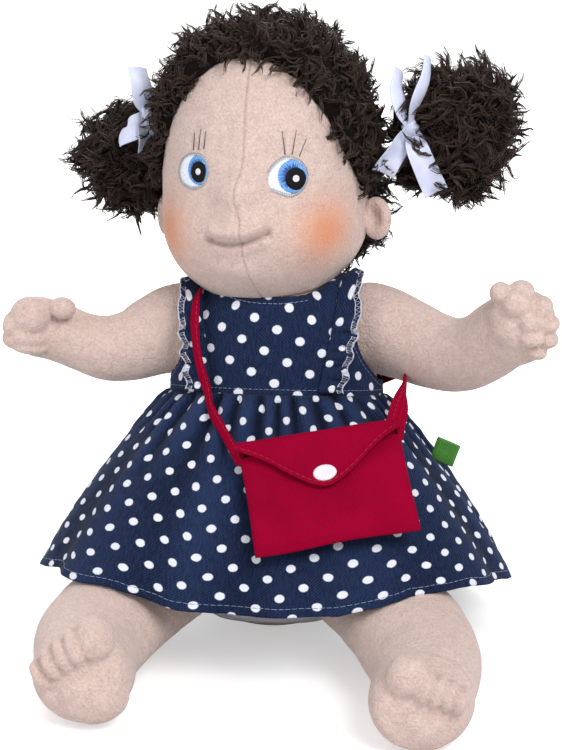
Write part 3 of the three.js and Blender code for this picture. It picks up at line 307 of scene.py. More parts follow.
def threads(name: str, runs: Sequence[Run], fine: bool = False) -> Piece:
    """Thin strands as one mesh.

    Args:
        name: the object's name.
        runs: for each strand its points in millimetres and its radius at each.
        fine: whether the strands have three sides, as hair's do, and not four.

    Returns:
        The new object.
    """
    curve = bpy.data.curves.new(name, "CURVE")
    curve.dimensions = "3D"
    curve.bevel_depth = 1
    curve.bevel_resolution = 0
    curve.use_fill_caps = True
    for points, radii in runs:
        spline = curve.splines.new("POLY")
        spline.points.add(len(points) - 1)
        places = np.column_stack([points * MM, np.ones(len(points))])
        spline.points.foreach_set("co", places.ravel())
        spline.points.foreach_set("radius", np.broadcast_to(radii, len(points)) * MM)
    if fine:
        curve.bevel_mode = "OBJECT"
        curve.bevel_object = three_cornered(name + "_outline")
    source = linked(name + "_path", curve)
    mesh = finished_mesh(source)
    bpy.data.objects.remove(source)
    if fine:
        bpy.data.objects.remove(curve.bevel_object)
        closed_up(mesh, 1e-7)
    mesh.name = name
    return linked(name, mesh)


def dashes(path: Points, stitch: float, pause: float, radius: float) -> list[Run]:
    """A line of running stitches along a path.

    Args:
        path: points in millimetres.
        stitch: length of a stitch.
        pause: length between stitches.
        radius: half the thread's thickness.

    Returns:
        One run for each stitch.
    """
    reach = reach_along(path)
    thick = radius * np.array([0.45, 1, 1, 1, 0.45])
    runs = []
    for start in np.arange(0, reach[-1] - stitch, stitch + pause):
        places = start + stitch * np.array([0, 0.25, 0.5, 0.75, 1])
        runs.append((read_at(places, reach, path), thick))
    return runs


def with_modifier(piece: Piece, kind: str, **settings: float | str | bool) -> None:
    """Give a piece a modifier with these settings."""
    made = piece.modifiers.new(kind.title(), kind)
    for word, value in settings.items():
        setattr(made, word, value)


def walled(piece: Piece, thick: float, offset: float) -> None:
    """Give a sheet its thickness in millimetres, outwards at 1 and inwards at -1."""
    with_modifier(piece, "SOLIDIFY", thickness=thick * MM, offset=offset)


def settled(piece: Piece) -> None:
    """Put a piece's modifiers into its mesh."""
    mesh = finished_mesh(piece)
    piece.modifiers.clear()
    piece.data = mesh


def linear(colour: Sequence[int]) -> tuple[float, float, float, float]:
    """A screen colour of 0 to 255 as Blender's linear colour."""
    shares = [part / 255 for part in colour]
    return (*(s / 12.92 if s <= 0.04045 else ((s + 0.055) / 1.055) ** 2.4 for s in shares), 1.0)


class Wiring:
    """Adds nodes to a tree and joins them."""

    def __init__(self, tree: bpy.types.NodeTree) -> None:
        """Work on one tree."""
        self.tree = tree

    def add(self, kind: str, inputs: dict | None = None, **settings: object) -> bpy.types.Node:
        """Add one node.

        Args:
            kind: the node's type without its first word, as in TexNoise.
            inputs: sockets' values, or the sockets that feed them, by name or number.
            settings: the node's own properties.

        Returns:
            The node.
        """
        made = self.tree.nodes.new("ShaderNode" + kind)
        for word, value in settings.items():
            setattr(made, word, value)
        for key, value in (inputs or {}).items():
            if isinstance(value, Socket):
                self.tree.links.new(value, made.inputs[key])
            else:
                made.inputs[key].default_value = value
        return made

    def sum(self, operation: str, first: object, second: object = 0.0) -> Socket:
        """The result of a Math node."""
        return self.add("Math", {0: first, 1: second}, operation=operation).outputs[0]

    def ranged(
        self, value: object, low: float, high: float, to_low: float = 0.0, to_high: float = 1.0
    ) -> object:
        """A value carried from one range to another."""
        spans = {"Value": value, "From Min": low, "From Max": high, "To Min": to_low, "To Max": to_high}
        return self.add("MapRange", spans).outputs[0]

    def blended(self, share: object, first: object, second: object) -> Socket:
        """Two colours mixed by a share."""
        return self.add("Mix", {0: share, 6: first, 7: second}, data_type="RGBA").outputs[2]

    def object_place(self) -> Socket:
        """The piece's own coordinates in metres."""
        return self.add("TexCoord").outputs["Object"]

    def cloth_place(self) -> Socket:
        """The place on the flat cloth in metres."""
        return self.add("UVMap", uv_map="Cloth").outputs[0]

    def noise(self, place: object, pitch: float | object, detail: float = 2.0, rough: float = 0.5) -> object:
        """Noise with rises about a pitch in metres apart."""
        scale = self.sum("DIVIDE", 1.0, pitch) if isinstance(pitch, Socket) else 1 / pitch
        settings = {"Vector": place, "Scale": scale, "Detail": detail, "Roughness": rough}
        return self.add("TexNoise", settings).outputs[0]


def group(
    name: str, inputs: dict[str, float], outputs: Sequence[str], build: Callable[[Wiring, dict], dict]
) -> bpy.types.NodeTree:
    """A shader node group, built once.

    Args:
        name: the group's name.
        inputs: its number sockets with their usual values.
        outputs: the names of what it gives, all numbers.
        build: makes the nodes from the input sockets, and returns the output sockets.

    Returns:
        The group's tree.
    """
    if name in bpy.data.node_groups:
        return bpy.data.node_groups[name]
    tree = bpy.data.node_groups.new(name, "ShaderNodeTree")
    for word, usual in inputs.items():
        tree.interface.new_socket(word, in_out="INPUT", socket_type="NodeSocketFloat").default_value = usual
    for word in outputs:
        tree.interface.new_socket(word, in_out="OUTPUT", socket_type="NodeSocketFloat")
    start = tree.nodes.new("NodeGroupInput")
    end = tree.nodes.new("NodeGroupOutput")
    made = build(Wiring(tree), {word: start.outputs[word] for word in inputs})
    for word in outputs:
        tree.links.new(made[word], end.inputs[word])
    return tree


def nap_nodes(wiring: Wiring, given: dict) -> dict:
    """Short fibres that lie in patches: a tone and a height."""
    place = wiring.object_place()
    patches = wiring.noise(place, given["Patch"], 3.0, 0.6)
    fibres = wiring.noise(place, given["Fibre"], 2.0, 0.7)
    tone = wiring.sum("ADD", wiring.sum("MULTIPLY", patches, 0.35), wiring.sum("MULTIPLY", fibres, 0.65))
    return {"Tone": wiring.ranged(tone, 0.32, 0.68), "Height": fibres}


def wave_settings(wiring: Wiring, given: dict, distortion: float) -> dict:
    """The settings of a wave with a band for each of a group's Pitch on the flat cloth."""
    bands = wiring.sum("DIVIDE", 0.31416, given["Pitch"])
    return {"Vector": wiring.cloth_place(), "Scale": bands, "Distortion": distortion, "Detail": 1.0}


def twill_nodes(wiring: Wiring, given: dict) -> dict:
    """Slanting ribs of a twill on the flat cloth, with pale slubs."""
    settings = wave_settings(wiring, given, 1.6)
    ribs = wiring.add("TexWave", settings, bands_direction="DIAGONAL").outputs[1]
    way = {"Vector": wiring.cloth_place(), "Rotation": (0, 0, math.radians(-52)), "Scale": (1, 0.16, 1)}
    slubs = wiring.noise(wiring.add("Mapping", way).outputs[0], 0.0007, 3.0, 0.8)
    light = wiring.sum("ADD", wiring.sum("MULTIPLY", ribs, 0.2), slubs)
    return {"Light": wiring.ranged(light, 0.42, 0.86), "Height": ribs}


def spot_nodes(wiring: Wiring, given: dict) -> dict:
    """Round printed spots on a slanting square lattice of the flat cloth."""
    place = wiring.cloth_place()
    way = {"Vector": place, "Rotation": (0, 0, math.radians(28))}
    lattice = {0: wiring.add("Mapping", way).outputs[0], 3: wiring.sum("DIVIDE", 1.0, given["Pitch"])}
    scaled = wiring.add("VectorMath", lattice, operation="SCALE").outputs[0]
    part = wiring.add("VectorMath", {0: scaled}, operation="FRACTION").outputs[0]
    middle = wiring.add("VectorMath", {0: part, 1: (0.5, 0.5, 0.0)}, operation="SUBTRACT").outputs[0]
    reach = wiring.add("VectorMath", {0: middle}, operation="LENGTH").outputs[1]
    edge = wiring.sum("ADD", reach, wiring.ranged(wiring.noise(place, 0.0016, 2.0), 0.3, 0.7, -0.008, 0.008))
    rim = wiring.sum("DIVIDE", given["Radius"], given["Pitch"])
    return {"Mask": wiring.ranged(wiring.sum("SUBTRACT", edge, rim), -0.02, 0.02, 1.0, 0.0)}


def weave_nodes(wiring: Wiring, given: dict) -> dict:
    """Threads over and under on the flat cloth."""
    settings = wave_settings(wiring, given, 0.8)
    warp = wiring.add("TexWave", settings, bands_direction="X").outputs[1]
    weft = wiring.add("TexWave", settings, bands_direction="Y").outputs[1]
    height = wiring.sum("ADD", wiring.sum("MULTIPLY", warp, 0.5), wiring.sum("MULTIPLY", weft, 0.5))
    worn = wiring.noise(wiring.object_place(), given["Patch"], 3.0)
    return {"Tone": wiring.ranged(wiring.sum("ADD", height, worn), 0.6, 1.4), "Height": height}


def nap(fibre: float, patch: float) -> tuple[bpy.types.NodeTree, dict]:
    """The group for fibres and the values for one finish."""
    tree = group("Nap", {"Fibre": 0.0005, "Patch": 0.004}, ("Tone", "Height"), nap_nodes)
    return tree, {"Fibre": fibre, "Patch": patch}


def weave(pitch: float, patch: float) -> tuple[bpy.types.NodeTree, dict]:
    """The group for a plain weave and the values for one finish."""
    tree = group("Weave", {"Pitch": 0.0005, "Patch": 0.01}, ("Tone", "Height"), weave_nodes)
    return tree, {"Pitch": pitch, "Patch": patch}


@dataclass(frozen=True)
class Finish:
    """What every finish has: a name, a slot name, colours and how it takes light."""

    name: str
    slot: str
    colour: Colour
    shade: Colour
    roughness: float = 0.9
    sheen: float = 0.0
    gloss: float = 0.25
    relief: float = 0.0003

    def material(self) -> bpy.types.Material:
        """The finish's material, made on first use."""
        if self.name in bpy.data.materials:
            return bpy.data.materials[self.name]
        made = bpy.data.materials.new(self.name)
        made.use_nodes = True
        wiring = Wiring(made.node_tree)
        shader = made.node_tree.nodes["Principled BSDF"]
        shader.inputs["Roughness"].default_value = self.roughness
        shader.inputs["Sheen Weight"].default_value = self.sheen
        shader.inputs["Sheen Roughness"].default_value = 0.5
        shader.inputs["Specular IOR Level"].default_value = self.gloss
        made.diffuse_color = linear(self.colour)
        colour, height = self.surface(wiring)
        bump = wiring.add("Bump", {"Height": height, "Distance": self.relief, "Strength": 0.8})
        made.node_tree.links.new(colour, shader.inputs["Base Color"])
        made.node_tree.links.new(bump.outputs[0], shader.inputs["Normal"])
        return made

    def toned(self, wiring: Wiring, tone: object) -> Socket:
        """The colour with its shade where the tone is low."""
        return wiring.blended(tone, linear(self.shade), linear(self.colour))

    def group_node(self, wiring: Wiring, tree: bpy.types.NodeTree, values: dict) -> bpy.types.Node:
        """Place a group and set its values."""
        node = wiring.tree.nodes.new("ShaderNodeGroup")
        node.node_tree = tree
        for word, value in values.items():
            node.inputs[word].default_value = value
        return node

    def surface(self, wiring: Wiring) -> tuple[object, object]:
        """The colour and height sockets of the finish."""
        raise NotImplementedError


@dataclass(frozen=True)
class Fibres(Finish):
    """Velour, felt, curls and fillings: short fibres in patches."""

    fibre: float = 0.0006
    patch: float = 0.005

    def surface(self, wiring: Wiring) -> tuple[object, object]:
        """Colour and height from the fibres."""
        node = self.group_node(wiring, *nap(self.fibre, self.patch))
        return self.toned(wiring, node.outputs["Tone"]), node.outputs["Height"]


@dataclass(frozen=True)
class FaceVelour(Fibres):
    """The head's velour, with rubbed-in cheeks, a dark line along its middle seam and painted shade in its
    smile's crease.
    """

    cheek: Colour = (222, 136, 88)
    # The colour of the seam's dark line and of the painted shade in the smile's crease.
    fold: Colour = (120, 84, 74)

    def surface(self, wiring: Wiring) -> tuple[object, object]:
        """Colour and height from the fibres and the face's attributes."""
        node = self.group_node(wiring, *nap(self.fibre, self.patch))
        base = self.toned(wiring, node.outputs["Tone"])
        blush = wiring.add("Attribute", attribute_name="blush").outputs["Fac"]
        patchy = wiring.ranged(node.outputs["Tone"], 0.0, 1.0, 0.85, 1.0)
        rubbed = wiring.blended(wiring.sum("MULTIPLY", blush, patchy), base, linear(self.cheek))
        # The crease attribute: the seam's dark line and the painted shade in the smile's crease.
        crease = wiring.add("Attribute", attribute_name="crease").outputs["Fac"]
        return wiring.blended(crease, rubbed, linear(self.fold)), node.outputs["Height"]


@dataclass(frozen=True)
class Woven(Finish):
    """Cotton, satin, tape and the bag's cloth: a plain weave."""

    pitch: float = 0.0006
    patch: float = 0.012

    def surface(self, wiring: Wiring) -> tuple[object, object]:
        """Colour and height from the weave."""
        node = self.group_node(wiring, *weave(self.pitch, self.patch))
        return self.toned(wiring, node.outputs["Tone"]), node.outputs["Height"]


@dataclass(frozen=True)
class SpottedDenim(Finish):
    """Dark denim with a print of small spots, painted light on the gathers' ridges and painted shade in
    their valleys.
    """

    spot: Colour = (226, 229, 240)
    spacing: float = 0.0104
    spot_radius: float = 0.00186
    pitch: float = 0.0007

    def surface(self, wiring: Wiring) -> tuple[object, object]:
        """Colour and height from the twill, its print and the painted light and shade of the folds."""
        twill = group("Twill", {"Pitch": 0.0009}, ("Light", "Height"), twill_nodes)
        ribs = self.group_node(wiring, twill, {"Pitch": self.pitch})
        print_group = group("Spots", {"Pitch": 0.0109, "Radius": 0.002}, ("Mask",), spot_nodes)
        spots = self.group_node(wiring, print_group, {"Pitch": self.spacing, "Radius": self.spot_radius})
        # Painted light on the ridges of the folds and painted shade in their valleys, from the skirt's fold
        # attribute.
        fold = wiring.add("Attribute", attribute_name="fold").outputs["Fac"]
        light = wiring.sum("ADD", ribs.outputs["Light"], wiring.sum("MULTIPLY", fold, 0.8))
        cloth = self.toned(wiring, wiring.ranged(light, 0.0, 1.0))
        return wiring.blended(spots.outputs["Mask"], cloth, linear(self.spot)), ribs.outputs["Height"]


@dataclass(frozen=True)
class Stitched(Finish):
    """Satin-stitch embroidery: threads that run out from the middle of a patch."""

    speckle: Colour | None = None

    def surface(self, wiring: Wiring) -> tuple[object, object]:
        """Colour and height from the threads, with a speckled rim where there is one."""
        place = wiring.cloth_place()
        spread = wiring.add("Mapping", {"Vector": place, "Scale": (90, 2.5, 1)}).outputs[0]
        fray = wiring.add("TexNoise", {"Vector": spread, "Scale": 1.0, "Detail": 2.0}).outputs[0]
        colour = self.toned(wiring, wiring.ranged(fray, 0.35, 0.62))
        if self.speckle:
            rim = wiring.add("Attribute", attribute_name="rim").outputs["Fac"]
            ragged = wiring.sum("ADD", rim, wiring.ranged(fray, 0.3, 0.7, -0.16, 0.16))
            colour = wiring.blended(wiring.ranged(ragged, 0.78, 0.56), colour, linear(self.speckle))
        return colour, fray


def sewing(
    name: str, slot: str, colour: tuple, shade: tuple, roughness: float = 0.7, gloss: float = 0.3
) -> Fibres:
    """A sewing thread's finish."""
    return Fibres(name, slot, colour, shade, roughness, 0.1, gloss, 0.0001, 0.0004, 0.002)


SKIN_LIGHT = (0.95, 0.3, 0.1)
SKIN = Fibres("Velour", "velour", (226, 203, 194), (194, 168, 159), *SKIN_LIGHT, 0.0012, 0.0011, 0.004)
FACE = FaceVelour(
    "Face velour", "velour", (224, 202, 193), (194, 168, 159), *SKIN_LIGHT, 0.001, 0.001, 0.004
)
CURLS = Fibres("Curls", "pile", (70, 50, 40), (14, 9, 8), 0.5, 0.03, 0.3, 0.0002, 0.0015, 0.009)
# Darker than the locks: the pile's ground, partly the hair's own dark colour and partly painted shade deep
# in the pile.
UNDERCURLS = Fibres(
    "Under the curls", "pile", (26, 19, 16), (13, 10, 9), 0.9, 0.0, 0.1, 0.0008, 0.001, 0.005
)
DENIM = SpottedDenim("Spotted denim", "denim", (38, 54, 90), (12, 21, 44), 0.9, 0.04, 0.12, 0.0002)
DENIM_THREAD = sewing("Topstitching", "denim", (150, 162, 192), (112, 124, 160), 0.8, 0.2)
OVERLOCK = sewing("Overlock thread", "denim", (226, 226, 236), (184, 186, 206), 0.7, 0.2)
COTTON = Woven("Cotton", "cotton", (236, 238, 243), (216, 221, 232), 0.85, 0.1, 0.2, 0.0001)
SATIN = Woven(
    "Satin ribbon", "satin", (228, 232, 250), (194, 200, 232), 0.32, 0.2, 0.5, 0.00004, 0.0003, 0.008
)
ELASTIC = Woven("Elastic", "elastic", (60, 50, 46), (28, 22, 20), 0.8, 0.1, 0.2, 0.0003, 0.0009, 0.004)
CRIMSON = Woven(
    "Crimson cloth", "crimson", (158, 0, 48), (126, 0, 34), 0.9, 0.0, 0.06, 0.00012, 0.0007, 0.02
)
CRIMSON_THREAD = sewing("Crimson thread", "crimson", (186, 16, 54), (146, 6, 36), 0.6)
FELT = Fibres("White felt", "felt", (240, 236, 240), (218, 212, 220), 0.9, 0.3, 0.15, 0.0003, 0.0005, 0.003)
LABEL = Woven("Green ribbon", "label", (88, 160, 62), (58, 122, 42), 0.5, 0.1, 0.35, 0.0001, 0.0005, 0.004)
TAPE = Woven("Closure tape", "tape", (238, 238, 240), (214, 214, 220), 0.85, 0.2, 0.2, 0.0003, 0.0011, 0.004)
EYE_WHITE = Stitched("Eye satin stitch", "eye_rim", (238, 241, 248), (206, 218, 238), 0.6, 0.1, 0.3, 0.0002)
EYE_CUT = Fibres(
    "Eye border", "eye_rim", (230, 226, 216), (208, 202, 190), 0.8, 0.1, 0.2, 0.0002, 0.0004, 0.002
)
EYE_STITCH = sewing("Eye stitches", "eye_rim", (158, 172, 194), (116, 134, 166))
IRIS = Stitched(
    "Iris thread", "iris", (124, 176, 228), (72, 130, 202), 0.6, 0.1, 0.3, 0.0002, (34, 70, 146)
)
PUPIL = Stitched("Pupil thread", "pupil", (10, 10, 14), (4, 4, 6), 0.6, 0.0, 0.15, 0.0002)
LASH = sewing("Lash thread", "lash", (96, 84, 94), (58, 48, 60))
FILLING = Fibres(
    "Filling", "filling", (238, 236, 230), (214, 210, 202), 0.95, 0.2, 0.1, 0.0008, 0.0012, 0.006
)
PELLETS = Fibres(
    "Pellet pouch", "pellets", (214, 206, 190), (176, 168, 152), 0.7, 0.0, 0.3, 0.001, 0.003, 0.012
)


def dressed(piece: Piece, finish: Finish, body: str, nodes: Sequence[str] = ()) -> Piece:
    """Finish a piece and give it its place in the model.

    Args:
        piece: the object.
        finish: its finish.
        body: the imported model's body that it rides on.
        nodes: the nodes that it stands for.

    Returns:
        The same object.
    """
    piece.data.materials.clear()
    piece.data.materials.append(finish.material())
    piece.data.polygons.foreach_set("use_smooth", np.ones(len(piece.data.polygons), bool))
    if nodes:
        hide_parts(*nodes)
    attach(piece, body)
    LOG.info("%s: %d faces, on %s", piece.name, len(piece.data.polygons), body)
    return piece


@dataclass(frozen=True)
class BodyForm:
    """The trunk's form: ellipses square to an axis that leans back."""

    lean: float = 13.0
    base: Triple = (0.0, -9.4, 0.54)
    length: float = 153.0
    seat_half: Pair = (50.0, 43.0)
    chest_half: Pair = (44.0, 36.0)
    seat_rounding: float = 45.0
    shoulder_start: float = 121.0
    waist: float = 104.0

    def place(self, x: Points, depth: Points, along: Points) -> Points:
        """A point from its x, its depth behind the axis and its height along it."""
        angle = math.radians(self.lean)
        y = depth * math.cos(angle) + along * math.sin(angle)
        z = along * math.cos(angle) - depth * math.sin(angle)
        return stacked(x, y, z) + self.base

    def half_sizes(self, along: Points | float) -> tuple[Points, Points]:
        """Half the width and depth at heights along the axis."""
        upper = smooth(45, 125, along)
        low = np.clip(np.asarray(along, float) / self.seat_rounding, 0, 1)
        high = np.clip((along - self.shoulder_start) / (self.length - self.shoulder_start), 0, 1)
        closing = np.sqrt(1 - (1 - low) ** 2) * np.sqrt(1 - high**4.5)
        wide = mixed(self.seat_half[0], self.chest_half[0], upper) * closing
        deep = mixed(self.seat_half[1], self.chest_half[1], upper) * closing
        return wide, deep

    def skin(self, angle: Points, along: Points, off: Points | float = 0.0) -> Points:
        """A point on the trunk, or off it by a distance."""
        wide, deep = self.half_sizes(along)
        middle = self.length / 2
        height = middle + (along - middle) * (1 + off / middle)
        return self.place((wide + off) * np.cos(angle), (deep + off) * np.sin(angle), height)

    def dress(self, angle: Points, along: Points, off: Points | float) -> Points:
        """A point off the trunk by a distance, at an unchanged height along it."""
        wide, deep = self.half_sizes(along)
        return self.place((wide + off) * np.cos(angle), (deep + off) * np.sin(angle), along)


@dataclass(frozen=True)
class HeadForm:
    """The head's form: an egg with a full crown, in its own turned frame."""

    centre: Triple = (-5.0, 18.0, 178.6)
    half_width: float = 44.5
    front: float = 45.0
    back: float = 48.0
    up: float = 80.0
    down: float = 36.5
    fullness: float = 2.6

    def world(self, points: Points) -> Points:
        """Points of the head's frame in the model's frame."""
        turn = turned("Z", -8.5) @ turned("X", -4) @ turned("Y", -2)
        return points @ turn.T + self.centre

    def facing(self, ways: Points) -> Points:
        """Directions of the head's frame in the model's frame."""
        return self.world(ways) - self.world(np.zeros((1, 3)))

    def plain(self, azimuth: Points | float, height: Points | float, grow: Points | float = 0.0) -> Points:
        """A point on the egg, off it by a distance, in the head's frame."""
        azimuth, height = np.broadcast_arrays(np.asarray(azimuth, float), np.asarray(height, float))
        depth = mixed(self.back, self.front, (1 + np.cos(azimuth)) / 2) + grow
        reach = np.where(height > 0, self.up, self.down)
        fullness = np.where(height > 0, self.fullness, 2.0)
        share = np.minimum(1, np.abs(height) / reach)
        narrow = (1 - share**fullness) ** (1 / fullness)
        x = (self.half_width + grow) * narrow * np.sin(azimuth)
        return stacked(x, -depth * narrow * np.cos(azimuth), height * (1 + grow / reach))

    def outward(self, azimuth: Points, height: Points) -> Points:
        """The direction away from the egg, in the head's frame."""
        step = 0.01
        round_it = self.plain(azimuth + step, height) - self.plain(azimuth - step, height)
        up_it = self.plain(azimuth, height + step * 40) - self.plain(azimuth, height - step * 40)
        return unit(np.cross(round_it, up_it))


TRUNK = BodyForm()
HEAD = HeadForm()
NECK_PLACE = (-3.0, 19.0, 150.0)


@dataclass(frozen=True)
class Face:
    """The velour head with its nose, smile, chin, cheeks and middle seam."""

    nose_high: float = 6.4
    nose_half: float = 9.5
    nose_tip: float = 15.0
    smile_low: float = -6.0
    smile_rise: float = 2.9
    smile_tilt: float = 1.3
    smile_half: float = math.radians(16)
    blush_azimuth: float = math.radians(51)
    blush_height: float = -2.0
    blush_radius: float = 12.5

    def lay(self, across: Points, along: Points) -> tuple[Points, Points]:
        """Azimuth and height for shares of the grid, closer together at the front of the face."""
        side, rise = 2 * across - 1, 2 * along - 1
        tilt = np.sin(math.pi / 2 * (0.45 * rise + 0.55 * rise**3))
        return math.pi * (0.35 * side + 0.65 * side**3), np.where(tilt > 0, HEAD.up, HEAD.down) * tilt

    def smile(self, azimuth: Points) -> Points:
        """Height of the smile's line."""
        share = azimuth / self.smile_half
        return self.smile_low + self.smile_rise * share**2 + self.smile_tilt * share

    def relief(self, azimuth: Points, x: Points, z: Points) -> Points:
        """How far the face stands out from the egg.

        Args:
            azimuth: round the head from the middle of the face.
            x: across the head.
            z: up the head.

        Returns:
            The rise in millimetres at each point.
        """
        angle = np.degrees(azimuth)
        middle = x - self.seam(z)
        nose = bell(z, self.nose_tip, np.where(z > self.nose_tip, 8.5, 9.5))
        rise = self.nose_high * bell(middle, 0, self.nose_half) * nose
        rise += 4.0 * bell(x, 0, 15.5) * bell(z, 0, 7)
        rise += 2.6 * (bell(angle, 37, 15) + bell(angle, -37, 15)) * bell(z, -6, 13)
        rise += 2.4 * bell(x, 0, 13) * bell(z, -20, 7)
        line = self.smile(azimuth)
        inside = 1 - smooth(0.9, 1.12, np.abs(azimuth / self.smile_half))
        lips = 2.0 * bell(z, line + 4.2, 3.0) + 0.6 * bell(z, line - 3.6, 2.4) - 2.6 * bell(z, line, 1.2)
        rise += lips * inside
        for side in (1, -1):
            corner = self.smile(np.array(side * self.smile_half))
            rise -= 2.4 * bell(angle, side * 16.5, 2.6) * bell(z, corner, 2.2)
        rise -= 0.5 * bell(middle, 0, 0.7)
        return rise * smooth(0.0, 0.35, np.cos(azimuth))

    def seam(self, z: Points) -> Points:
        """How far the middle seam and the nose lie to one side."""
        return 2.6 - 2.6 * bell(z, 14, 9) - 0.6 * bell(z, -8, 8) + 3.0 * (1 - smooth(-32, -12, z))

    def shape(self, across: Points, along: Points) -> Points:
        """The head's surface in the model's frame."""
        azimuth, height = self.lay(across, along)
        points = HEAD.plain(azimuth, height)
        points[:, 1] -= self.relief(azimuth, points[:, 0], points[:, 2])
        low = 1 - smooth(-28, 6, points[:, 2])
        points[:, 0] -= low * 1.0
        points[:, 2] -= 1.2 * (1 - smooth(-36, -22, points[:, 2]))
        points += HEAD.outward(azimuth, height) * (0.22 * uneven(points, 16, 3))[:, None]
        return HEAD.world(points)

    def blush(self, across: Points, along: Points) -> Points:
        """How strongly the cheeks are rubbed with colour."""
        azimuth, height = self.lay(across, along)
        side = (np.abs(azimuth) - self.blush_azimuth) * HEAD.front
        away = np.sqrt(side**2 + (height - self.blush_height) ** 2)
        return 0.86 * bell(away, 0, self.blush_radius) ** 0.9

    def crease(self, across: Points, along: Points) -> Points:
        """How dark the seam's line is, and how strong the painted shade in the smile's crease is."""
        azimuth, height = self.lay(across, along)
        x = HEAD.plain(azimuth, height)[:, 0] - self.seam(height)
        front = smooth(0.0, 0.3, np.cos(azimuth))
        inside = 1 - smooth(0.9, 1.1, np.abs(azimuth / self.smile_half))
        # Painted shade along the smile's crease.
        smile = 0.3 * bell(height, self.smile(azimuth), 1.0) * inside
        return np.clip(0.3 * bell(x, 0, 0.45) * front + smile, 0, 1)

    def build(self) -> None:
        """Make the head."""
        marks = {"blush": self.blush, "crease": self.crease}
        head = dressed(mapped("head", 340, 200, self.shape, marks=marks), FACE, "head", ["head_skin"])


@dataclass(frozen=True)
class Eye:
    """One embroidered eye: a cut border, satin stitches, iris, pupil, glint and lashes."""

    side: Side
    azimuth: float
    height: float
    outline: tuple[Pair, ...]
    iris: Triple
    pupil: Triple
    glint: float
    lashes: tuple[tuple[Pair, Pair], ...]

    def reach(self, angle: Points) -> Points:
        """The border's distance from the eye's middle in each direction."""
        ring = np.vstack([self.outline[-3:], self.outline, self.outline[:3]])
        path = curve_through(ring, 400)
        spin = np.unwrap(np.arctan2(path[:, 1], path[:, 0]))
        order = np.argsort(spin)
        first = spin[order][0]
        return np.interp(np.mod(angle - first, TURN) + first, spin[order], np.hypot(*path[order].T))

    def on_head(self, x: Points, z: Points, lift: Points | float) -> Points:
        """A place on the head beside the eye's middle."""
        return HEAD.world(HEAD.plain(math.radians(self.azimuth) + x / HEAD.front, self.height + z, lift))

    def pad(self, spot: Triple, base: float, thick: float, share: float) -> Shape:
        """The form of one raised layer.

        Args:
            spot: its place beside the eye's middle and its radius, or 0 for the eye's own outline.
            base: height of its edge over the head.
            thick: how far its middle rises over its edge.
            share: how near to the eye's outline it may come.

        Returns:
            The shape, top and underside in one.
        """

        def shape(across: Points, along: Points) -> Points:
            """The layer's surface in the model's frame."""
            out, spin = from_middle(along), across * TURN
            ring = spot[2] or self.reach(spin) * share
            x, z = spot[0] + out * ring * np.cos(spin), spot[1] + out * ring * np.sin(spin)
            limit = self.reach(np.arctan2(z, x)) * share / np.maximum(np.hypot(x, z), 1e-6)
            x, z = x * np.minimum(1, limit), z * np.minimum(1, limit)
            top = thick * np.sqrt(np.clip(1 - out**4, 0, 1)) + 0.05 * np.sin(across * TURN * 40) * out
            return self.on_head(x, z, base + np.where(along < TOP_SHARE, top, -0.1))

        return shape

    def layer(self, name: str, form: Shape, finish: Finish, nodes: Sequence[str]) -> None:
        """Make one layer with its threads' map.

        Args:
            name: the piece's name.
            form: its shape.
            finish: its finish.
            nodes: the nodes that it stands for.
        """

        def rim(across: Points, along: Points) -> Points:
            """How near each point is to the rim, 1 on the underside."""
            return np.minimum(along / TOP_SHARE, 1.0)

        piece = mapped(name, 120, 20, form, lambda u, v: stacked(u, rim(u, v)), {"rim": rim})
        dressed(piece, finish, "head", nodes)

    def build(self) -> None:
        """Make the eye."""
        word = self.side.word
        whole, glint = (0.0, 0.0, 0), (*self.pupil[:2], self.glint)
        for name, spot, heights, finish, nodes in (
            (f"eye_border_{word}", whole, (0.25, 0.35, 1.0), EYE_CUT, [f"eye_patch_{word}"]),
            (f"eye_white_{word}", whole, (0.45, 0.55, 0.88), EYE_WHITE, []),
            (f"iris_{word}_thread", self.iris, (0.7, 0.5, 0.9), IRIS, [f"iris_{word}"]),
            (f"pupil_{word}_thread", self.pupil, (1.0, 0.5, 0.88), PUPIL, [f"pupil_{word}"]),
            (f"glint_{word}_thread", glint, (1.4, 0.4, 0.88), FELT, [f"eye_glint_{word}"]),
        ):
            self.layer(name, self.pad(spot, *heights), finish, nodes)
        spin = np.linspace(0, TURN, 200)
        runs = []
        for turn in spin[::4]:
            ring = self.reach(np.full(4, turn)) * np.linspace(0.84, 1.01, 4)
            lift = np.array([0.95, 0.95, 0.8, 0.3])
            runs.append((self.on_head(ring * math.cos(turn), ring * math.sin(turn), lift), 0.1))
        ring = self.reach(spin) * 0.98
        runs += dashes(self.on_head(ring * np.cos(spin), ring * np.sin(spin), 0.7), 0.9, 0.3, 0.12)
        dressed(threads(f"eye_stitches_{word}", runs), EYE_STITCH, "head")
        t = np.linspace(0, 1, 9)
        for number, (low, high) in enumerate(self.lashes, 1):
            azimuth = np.radians(mixed(low[0], high[0], t))
            path = HEAD.world(HEAD.plain(azimuth, mixed(low[1], high[1], t) + 0.3 * np.sin(t * 3), 0.3))
            lash = threads(f"lash_{word}_{number}_thread", [(path, 0.24 * (1 - 0.5 * t))])
            dressed(lash, LASH, "head", [f"lash_{word}_{number}"])


